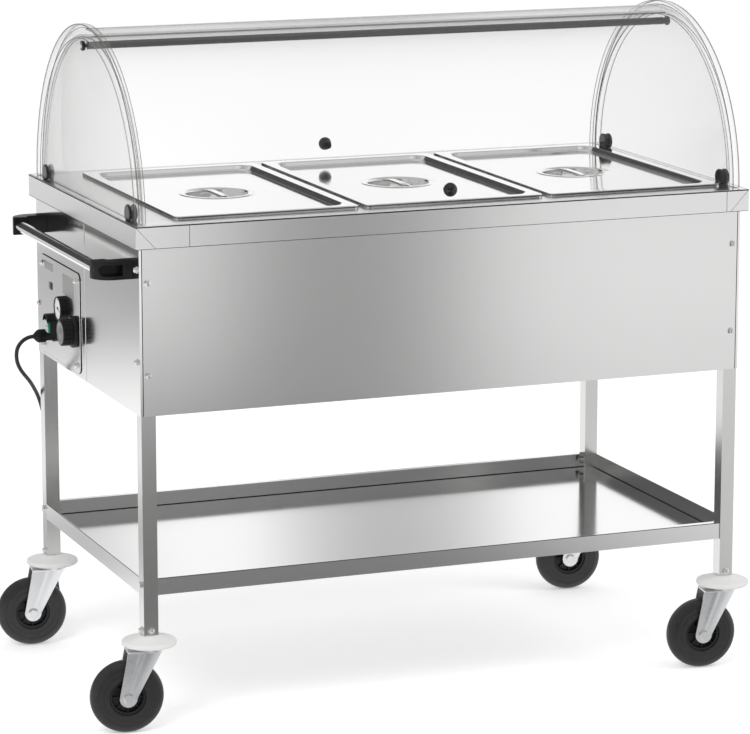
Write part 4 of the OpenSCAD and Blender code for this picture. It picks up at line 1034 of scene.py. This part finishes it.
def thermometer():
    """A black case with a stepped bezel, a white face with plain marks, and a needle."""
    r, reach, floor_out = 21.5, 12.5, 10.5
    case = Shape().turned(
        [(-24, 13.9), (0, 13.9), (0, r - 0.6), (0.6, r), (9.8, r), (10.3, r - 0.5),
         (11.9, r - 0.5), (reach, r - 1.2), (reach, r - 2), (11.6, r - 2.5),
         (floor_out - 0.2, r - 2.5), (floor_out - 0.2, 0)],
        on_cover(gauge_place), outwards, 72,
    )
    piece("gauge_housing", [case], "black_plastic", ["gauge_case"])
    face = Shape().turned(
        [(floor_out - 0.2, 18.9), (floor_out + 0.4, 18.9), (floor_out + 0.4, 0)],
        on_cover(gauge_place), outwards, 48,
    )
    piece("gauge_dial", [face], "white_plastic", ["gauge_face"])
    marks = []
    for k in range(25):
        way, side = spoke(225 - k * 270 / 24)
        inner, half = (13.6, 0.34) if k % 4 == 0 else (15.4, 0.18)
        marks.append(Shape().prism(
            [(inner, -half), (17.6, -half), (17.6, half), (inner, half)],
            on_cover(gauge_place, floor_out + 0.35), way, side, (-0.12, 0, 0),
        ))
    way, side = spoke(200)
    marks.append(Shape().prism(
        [(-5, -0.9), (15, -0.2), (15, 0.2), (-5, 0.9)],
        on_cover(gauge_place, floor_out + 0.7), way, side, (-0.3, 0, 0),
    ))
    marks.append(Shape().turned(
        [(floor_out + 0.4, 2.2), (floor_out + 1.2, 2.2), (floor_out + 1.4, 1.8),
         (floor_out + 1.4, 0)],
        on_cover(gauge_place), outwards, 24,
    ))
    piece("gauge_marks", marks, "black_plastic", [], "trolley")


def rocker_highlights():
    """Two pale plates on the rocker's outer face: a painted highlight on its glossy front."""
    tilt = math.radians(8)
    middle = Vector((cover_x + 4, switch_place[0], switch_place[1]))
    for name, z0, z1 in (("rocker_plate_low", -10.6, -1.2), ("rocker_plate_high", 1.2, 10.6)):
        ring = []
        for z, y in ((z0, -6.6), (z1, -6.6), (z1, 6.6), (z0, 6.6)):
            out = 17 - 1.5 * (1 - abs(z) / 12)
            ring.append(Vector((-out, y, z)))
        turned = [
            [middle + Vector((
                (p.x - lift) * math.cos(tilt) - p.z * math.sin(tilt), p.y,
                (p.x - lift) * math.sin(tilt) + p.z * math.cos(tilt),
            )) for p in ring] for lift in (-0.4, 0.25)
        ]
        piece(
            name, [Shape().skin(turned).rounded(0.15, 1)], "white_plastic", [], "rocker",
            extra["rocker_white"],
        )


def gland():
    """A clamping nut with ribs, a hexagon below it, and a tapered sleeve round the lead."""
    place = on_cover(gland_place)
    hexagon = Shape().turned([(0, 10.4), (6.4, 10.4), (7, 9.8)], place, outwards, 6)
    stem = Shape().turned([(-10, 8), (1, 8)], place, outwards, 32)
    inner = Shape().turned([(-8, 11.8), (-2.2, 11.8)], place, outwards, 6)
    rings = []
    for out, r, rib in (
        (6.2, 10.6, 0), (7, 11.2, 1.2), (18, 11.2, 1.2), (20, 10.8, 0.8), (22, 9.9, 0.3),
        (24, 8.3, 0), (26, 6.2, 0), (27.3, 4.9, 0), (28, 4.2, 0),
    ):
        middle = Vector(on_cover(gland_place, out))
        rings.append([
            middle + (r + rib * (1 if k % 8 < 4 else -1) * 0.5) * Vector(
                (0, math.cos(math.tau * k / 96), math.sin(math.tau * k / 96))
            ) for k in range(96)
        ])
    nut = Shape().skin(rings)
    piece("lead_gland", [stem, inner, hexagon, nut], "black_plastic", ["cable_gland"])


def small_lamp():
    """A bezel with a dark lens let into it."""
    place = Vector(on_cover(lamp_place))
    bezel, lens = (
        Shape().prism(
            [p[:2] for p in round_ring(half_y, half_z, r, (0, 0), 0, 5)],
            place, (0, 1, 0), (0, 0, 1), (-out, 0, 0),
        ).rounded(soft, 2)
        for half_y, half_z, r, out, soft in ((8.5, 6.5, 2, 1.4, 0.4), (6, 4, 1.2, 2.2, 0.6))
    )
    stem = Shape().block(place + Vector((-0.1, -7, -5)), place + Vector((14, 7, 5)))
    piece("lamp_lens", [bezel, lens, stem], "lamp_plastic", ["pilot_lamp"])


def cover_dark_outline():
    """A thin black slab behind the cover, which shows as a dark line round it."""
    low, high = span("control_cover")
    middle = ((low.y + high.y) / 2, (low.z + high.z) / 2)
    outline = [p[:2] for p in round_ring(
        (high.y - low.y) / 2 + 1, (high.z - low.z) / 2 + 1, 13, middle, 0, 8
    )]
    outline_slab = Shape().prism(outline, (-end_x + 0.2, 0, 0), (0, 1, 0), (0, 0, 1), (-1.3, 0, 0))
    piece("cover_seal", [outline_slab], "black_plastic", [], "trolley")


thermostat_knob()
thermometer()
rocker_highlights()
gland()
small_lamp()
cover_dark_outline()
softened("switch_frame", "black_plastic", 0.7)
softened("switch_rocker", "green_plastic", 0.6)
softened("mains_plug", "black_plastic", 0.8)


# Castors
yaw = math.radians(-8)
trail = 39
wheel_r = 62.5
axle_z = wheel_r
bumper_z = leg_z - 18
plate_z = bumper_z - 9
fork_half = 17
fork_t = 2.5
axis_y = Vector((-math.sin(yaw), math.cos(yaw), 0))
axis_x = Vector((math.cos(yaw), math.sin(yaw), 0))


class Corner:
    """One castor's own frame: x forwards past the swivel, y along the axle."""

    def __init__(self, name):
        self.name = name
        self.sx = -1 if "left" in name else 1
        self.sy = -1 if "front" in name else 1
        self.foot = Vector((self.sx * leg_x, self.sy * leg_y, 0))

    def __call__(self, x, y, z):
        return self.foot + axis_x * x + axis_y * y + Vector((0, 0, z))


tyre_side = [
    (31, 13.2), (33, 13.5), (37, 13.5), (38, 12.9), (39.6, 12.9), (40.4, 13.5), (46.6, 13.5),
    (47.6, 12.8), (48.4, 12.7), (49.4, 13.4), (51.2, 13.5), (52.6, 13.0), (55.4, 12.0),
    (58.2, 10.2), (60.4, 8), (61.8, 5), (62.4, 2.4),
]
hub_profile = [
    (-15, 5.06), (-15, 10.2), (-14.2, 11), (-4, 11.6), (-4, 25), (-10.2, 25.8), (-11, 26.6),
    (-11, 30.4), (-10.4, 31), (10.4, 31), (11, 30.4), (11, 26.6), (10.2, 25.8), (4, 25),
    (4, 11.6), (14.2, 11), (15, 10.2), (15, 5.06),
]


def wheel(corner):
    """A rubber tyre with rings moulded in its sides, on a hub with eight spokes."""
    middle = corner(-trail, 0, axle_z)
    profile = [(-w, r) for r, w in tyre_side] + [(0, wheel_r)]
    profile += [(w, r) for r, w in tyre_side[::-1]]
    tyre = Shape().turned(profile, middle, axis_y, 96, looped=True)
    piece("tyre_tread_" + corner.name, [tyre], "tyre_rubber", ["tyre_" + corner.name], smooth=28)
    parts = [Shape().turned(hub_profile, middle, axis_y, 72, looped=True)]
    for k in range(8):
        turn = math.tau * k / 8
        along = axis_x * math.cos(turn) + Vector((0, 0, 1)) * math.sin(turn)
        across = axis_x * -math.sin(turn) + Vector((0, 0, 1)) * math.cos(turn)
        for side in (-1, 1):
            parts.append(Shape().prism(
                [(10.6, -1.4), (25.6, -1.1), (25.6, 1.1), (10.6, 1.4)],
                middle + axis_y * side * 3.6, along, across, axis_y * side * 5.6,
            ).rounded(0.4, 1))
    piece("wheel_hub_" + corner.name, parts, "hub_plastic", ["hub_" + corner.name])


def fork_cheek(corner, side):
    """A pressed cheek: flat behind, with a ridge and a curved front, and a round lower end."""
    eye_r, back, front = 15, -39, 20
    rows = []
    for k in range(9):
        share = k / 8
        z = plate_z + (axle_z - plate_z) * share
        x0 = back + (-trail - eye_r - back) * share
        x1 = front + (-trail + eye_r - front) * share
        rows.append((z, x0, x1, share))
    for k in range(1, 9):
        turn = math.pi / 2 * k / 8.4
        half = eye_r * math.cos(turn)
        rows.append((axle_z - eye_r * math.sin(turn), -trail - half, -trail + half, 1))
    rings = []
    columns = 18
    for z, x0, x1, share in rows:
        outer = []
        for n in range(columns + 1):
            u = n / columns
            x = x0 + (x1 - x0) * u
            ridge = math.exp(-((u - 0.42) / 0.07) ** 2) * 1.4 * (1 - 0.75 * share)
            fold = max(0, (u - 0.62) / 0.38) ** 2 * 7.5 * (1 - share) ** 0.8
            outer.append((x, ridge - fold))
        ring = [corner(x, side * (fork_half + fork_t + off), z) for x, off in outer]
        ring += [corner(x, side * (fork_half + 0.4 + off), z) for x, off in outer[::-1]]
        rings.append(ring)
    return Shape().skin(rings)


def fork(corner):
    """A pressed fork with its bearing cups, and the axle bolt through its cheeks."""
    top = corner(0, 0, 0)
    outline = arc((0, 0), 24, -62, 62, 14) + [(-36, 21.5), (-39, 19.5), (-39, -19.5), (-36, -21.5)]
    foot = top + Vector((0, 0, plate_z - 0.5))
    plate = Shape().prism(outline, foot, axis_x, axis_y, (0, 0, 3.6)).rounded(1.0, 2)
    cups = Shape().turned(
        [(plate_z + 2.8, 22), (plate_z + 4.6, 23.2), (plate_z + 5.4, 22.6), (plate_z + 5.7, 20.6),
         (plate_z + 6.3, 20.6), (plate_z + 6.6, 22.2), (plate_z + 8.4, 22), (plate_z + 8.6, 20),
         (plate_z + 8.6, 6.2), (plate_z - 1, 6.2), (plate_z - 1, 20)],
        top, (0, 0, 1), 64, looped=True,
    )
    parts = [plate, cups, fork_cheek(corner, -1), fork_cheek(corner, 1)]
    middle = corner(-trail, 0, axle_z)
    parts.append(Shape().turned([(-21, 5), (21, 5)], middle, axis_y, 32))
    for side in (-1, 1):
        out = axis_y * side
        seat = middle + out * (fork_half + fork_t)
        parts.append(Shape().turned([(0, 9.4), (0.9, 9.4), (1.2, 9)], seat, out, 40))
        parts.append(Shape().turned([(1.1, 7.9), (4.9, 7.9), (5.6, 7.2), (5.6, 0)], seat, out, 6))
    piece("castor_fork_" + corner.name, parts, "zinc_steel", ["fork_" + corner.name], smooth=38)


bumper_profile = [
    (0, 6.1), (0, 40), (0.7, 44.2), (2.6, 46), (6.2, 46), (8.2, 45), (9.2, 43), (10.2, 38),
    (12.4, 30), (15.2, 22.6), (17.4, 18.2), (18, 16.5), (18, 6.1),
]


def bumpers():
    """The white discs under the legs."""
    discs = [
        Shape().turned(bumper_profile, Corner(name)(0, 0, bumper_z), (0, 0, 1), 96, looped=True)
        for name in corners
    ]
    piece("bumper_discs", discs, "bumper_plastic", ["castor_bumpers"])


for name in corners:
    wheel(Corner(name))
    fork(Corner(name))
bumpers()


# Floor, backdrop and light
floor_mesh = bpy.data.meshes.new("floor")
floor_mesh.from_pydata(
    [(-30, -30, 0), (30, -30, 0), (30, 30, 0), (-30, 30, 0)], [], [(0, 1, 2, 3)]
)
floor = bpy.data.objects.new("floor", floor_mesh)
bpy.context.scene.collection.objects.link(floor)


def floor_finish():
    """A plain pale floor, which shows white to the camera and keeps the shadow.

    Reflections show it white too, with grey zones.
    """
    f = Finish("pale_floor")
    seen = f.node("LightPath", out="Is Camera Ray")
    speck = f.noise(30, 2, 0.5)
    colour = f.mixed(speck, (0.88, 0.88, 0.88), (0.91, 0.91, 0.91))
    plain = f.node("BsdfDiffuse", inputs={"Color": colour})
    glow = f.node("Emission", inputs={"Color": (1, 1, 1), "Strength": 0.34})
    lifted = f.node("AddShader", inputs={0: plain, 1: glow})
    direct = f.node("MixShader", inputs={0: seen, 1: plain, 2: lifted})
    x, y = (f.node("SeparateXYZ", inputs={"Vector": f.place()}, out=axis) for axis in "XY")
    # Ahead of the trolley, for the front panel's middle and its right end
    near = f.eased(y, -3.7, -2.3, 0.0, 1.0)
    leftish = f.eased(x, 0.35, 1.05, 1.0, 0.4)
    not_beside = f.eased(x, -1.3, -0.5, 0.0, 1.0)
    ahead = near * leftish * not_beside * (y * -1.6 - 0.2).clamped() * 0.82
    rightish = f.eased(x - y * 0.2, 2.7, 3.6, 0.0, 0.2)
    ahead = ahead + rightish * (y * -1.0).clamped()
    # Behind it and to the left, for the left panel and the control cover
    far = f.eased(y, 1.9, 3.3, 0.0, 1.0)
    farther = f.eased(y, 4.1, 4.9, 1.0, 0.4)
    behind = far * farther * (x * -0.6 - 0.2).clamped() * 0.72
    stripe = f.eased(y, 0.4, 0.9, 0.0, 0.5) * f.eased(y, 1.15, 1.5, 1.0, 0.0)
    beside = stripe * (x * -2.5 - 0.75).clamped()
    grey = (ahead + behind + beside).clamped()
    bright = f.node("Emission", inputs={"Color": (1, 1, 1), "Strength": 1.1})
    dim = f.node("Emission", inputs={"Color": (1, 1, 1), "Strength": 0.0})
    mirrored = f.node("MixShader", inputs={0: grey, 1: bright, 2: dim})
    shine = f.node("LightPath", out="Is Glossy Ray")
    f.output(f.node("MixShader", inputs={0: shine, 1: direct, 2: mirrored}))
    return f.material


floor_mesh.materials.append(floor_finish())


def flag(name, place, half, low, high, tone):
    """A dark upright flag in front of the trolley, which only reflections show."""
    x, y = place
    mesh = bpy.data.meshes.new(name)
    mesh.from_pydata(
        [(x - half, y, low), (x + half, y, low), (x + half, y, high), (x - half, y, high)],
        [], [(0, 1, 2, 3)],
    )
    card = bpy.data.objects.new(name, mesh)
    bpy.context.scene.collection.objects.link(card)
    card.visible_camera = card.visible_diffuse = card.visible_shadow = False
    card.visible_transmission = False
    f = Finish(name)
    weave = f.noise(40, 2, 0.5)
    colour = f.mixed(weave, tuple(c * 0.9 for c in tone), tone)
    f.output(f.node("BsdfDiffuse", inputs={"Color": colour}))
    mesh.materials.append(f.material)


flag("front_flag", (0.53, -2.1), 0.28, 0.0, 1.6, (0.36, 0.36, 0.36))


def studio():
    """White low behind the trolley, grey low in front and dark above, as reflections show it."""
    world = bpy.data.worlds.new("studio")
    bpy.context.scene.world = world
    f = Finish("studio", world)
    way = f.node("TexCoord", out="Generated")
    right, back, up = (
        f.node("SeparateXYZ", inputs={"Vector": way}, out=axis) for axis in "XYZ"
    )
    leftwards = f.maths("MINIMUM", right, 0.0)
    height = up - back * 0.22 - right * 0.4 - leftwards * 0.5
    white_wall = f.eased(height, 0.0, 0.08, 1.0, 0.0)
    steep = f.eased(up, 0.175, 0.215, 0.0, 1.0)
    steeper = f.eased(up, 0.3, 0.45, 1.0, 0.0)
    # The shelf's two darker stripes
    aside = (right - 0.357) * 28
    far_left = ((0.297 - right) * 55).clamped() * (back * 4.0 - 3.0).clamped()
    grey_stripe = ((1 - aside * aside).clamped() * 0.56 + far_left * 0.5) * steep
    # The rims' and the left faces' grey, and what the lids show from other sides
    front_wall = (back * -2.0 - 1.0).clamped() * steep * steeper * (2.3 - right * 4.0).clamped()
    sideways = (abs(right) * 5.0 - 2.4).clamped()
    sides = sideways * (1 - white_wall) * 0.5
    overhead = f.eased(up, 0.6, 0.95, 0.0, 0.45)
    front_high = f.eased(up, 0.3, 0.4, 0.0, 0.42) * (back * -3.0 - 0.6).clamped() * (1 - sideways)
    back_high = f.eased(up, 0.4, 0.52, 0.0, 0.36) * (back * 3.0 - 0.6).clamped()
    lows = white_wall * (1 - grey_stripe) * 1.03 + front_wall * 0.22
    level = lows + sides + front_high + back_high + overhead + 0.06
    shine = f.node("LightPath", out="Is Glossy Ray")
    seen = f.node("LightPath", out="Is Camera Ray")
    strength = seen + (1 - seen) * (shine * level + (1 - shine) * 0.75)
    full = 1.2
    unlit = f.node("Background", inputs={"Color": (1, 1, 1), "Strength": 0.0})
    lit = f.node("Background", inputs={"Color": (1, 1, 1), "Strength": full})
    share = (strength * (1 / full)).clamped()
    light = f.node("MixShader", inputs={0: share, 1: unlit, 2: lit})
    f.tree.links.new(light.socket, f.tree.nodes.new("ShaderNodeOutputWorld").inputs["Surface"])


studio()


def lamp(name, place, target, size, watts):
    """A soft square lamp turned towards a point."""
    light = bpy.data.lights.new(name, "AREA")
    light.shape = "RECTANGLE"
    light.size, light.size_y = size
    light.energy = watts
    holder = bpy.data.objects.new(name, light)
    bpy.context.scene.collection.objects.link(holder)
    holder.location = place
    holder.rotation_euler = (Vector(target) - Vector(place)).to_track_quat("-Z", "Y").to_euler()
    holder.visible_glossy = False
    return holder


lamp("key_lamp", (-2.6, -2.4, 3.4), (0, 0, 0.5), (1.6, 1.6), 60)
lamp("fill_lamp", (3.2, -1.5, 2.6), (0, 0, 0.5), (1.2, 1.8), 30)

bpy.context.scene.view_settings.view_transform = "Standard"
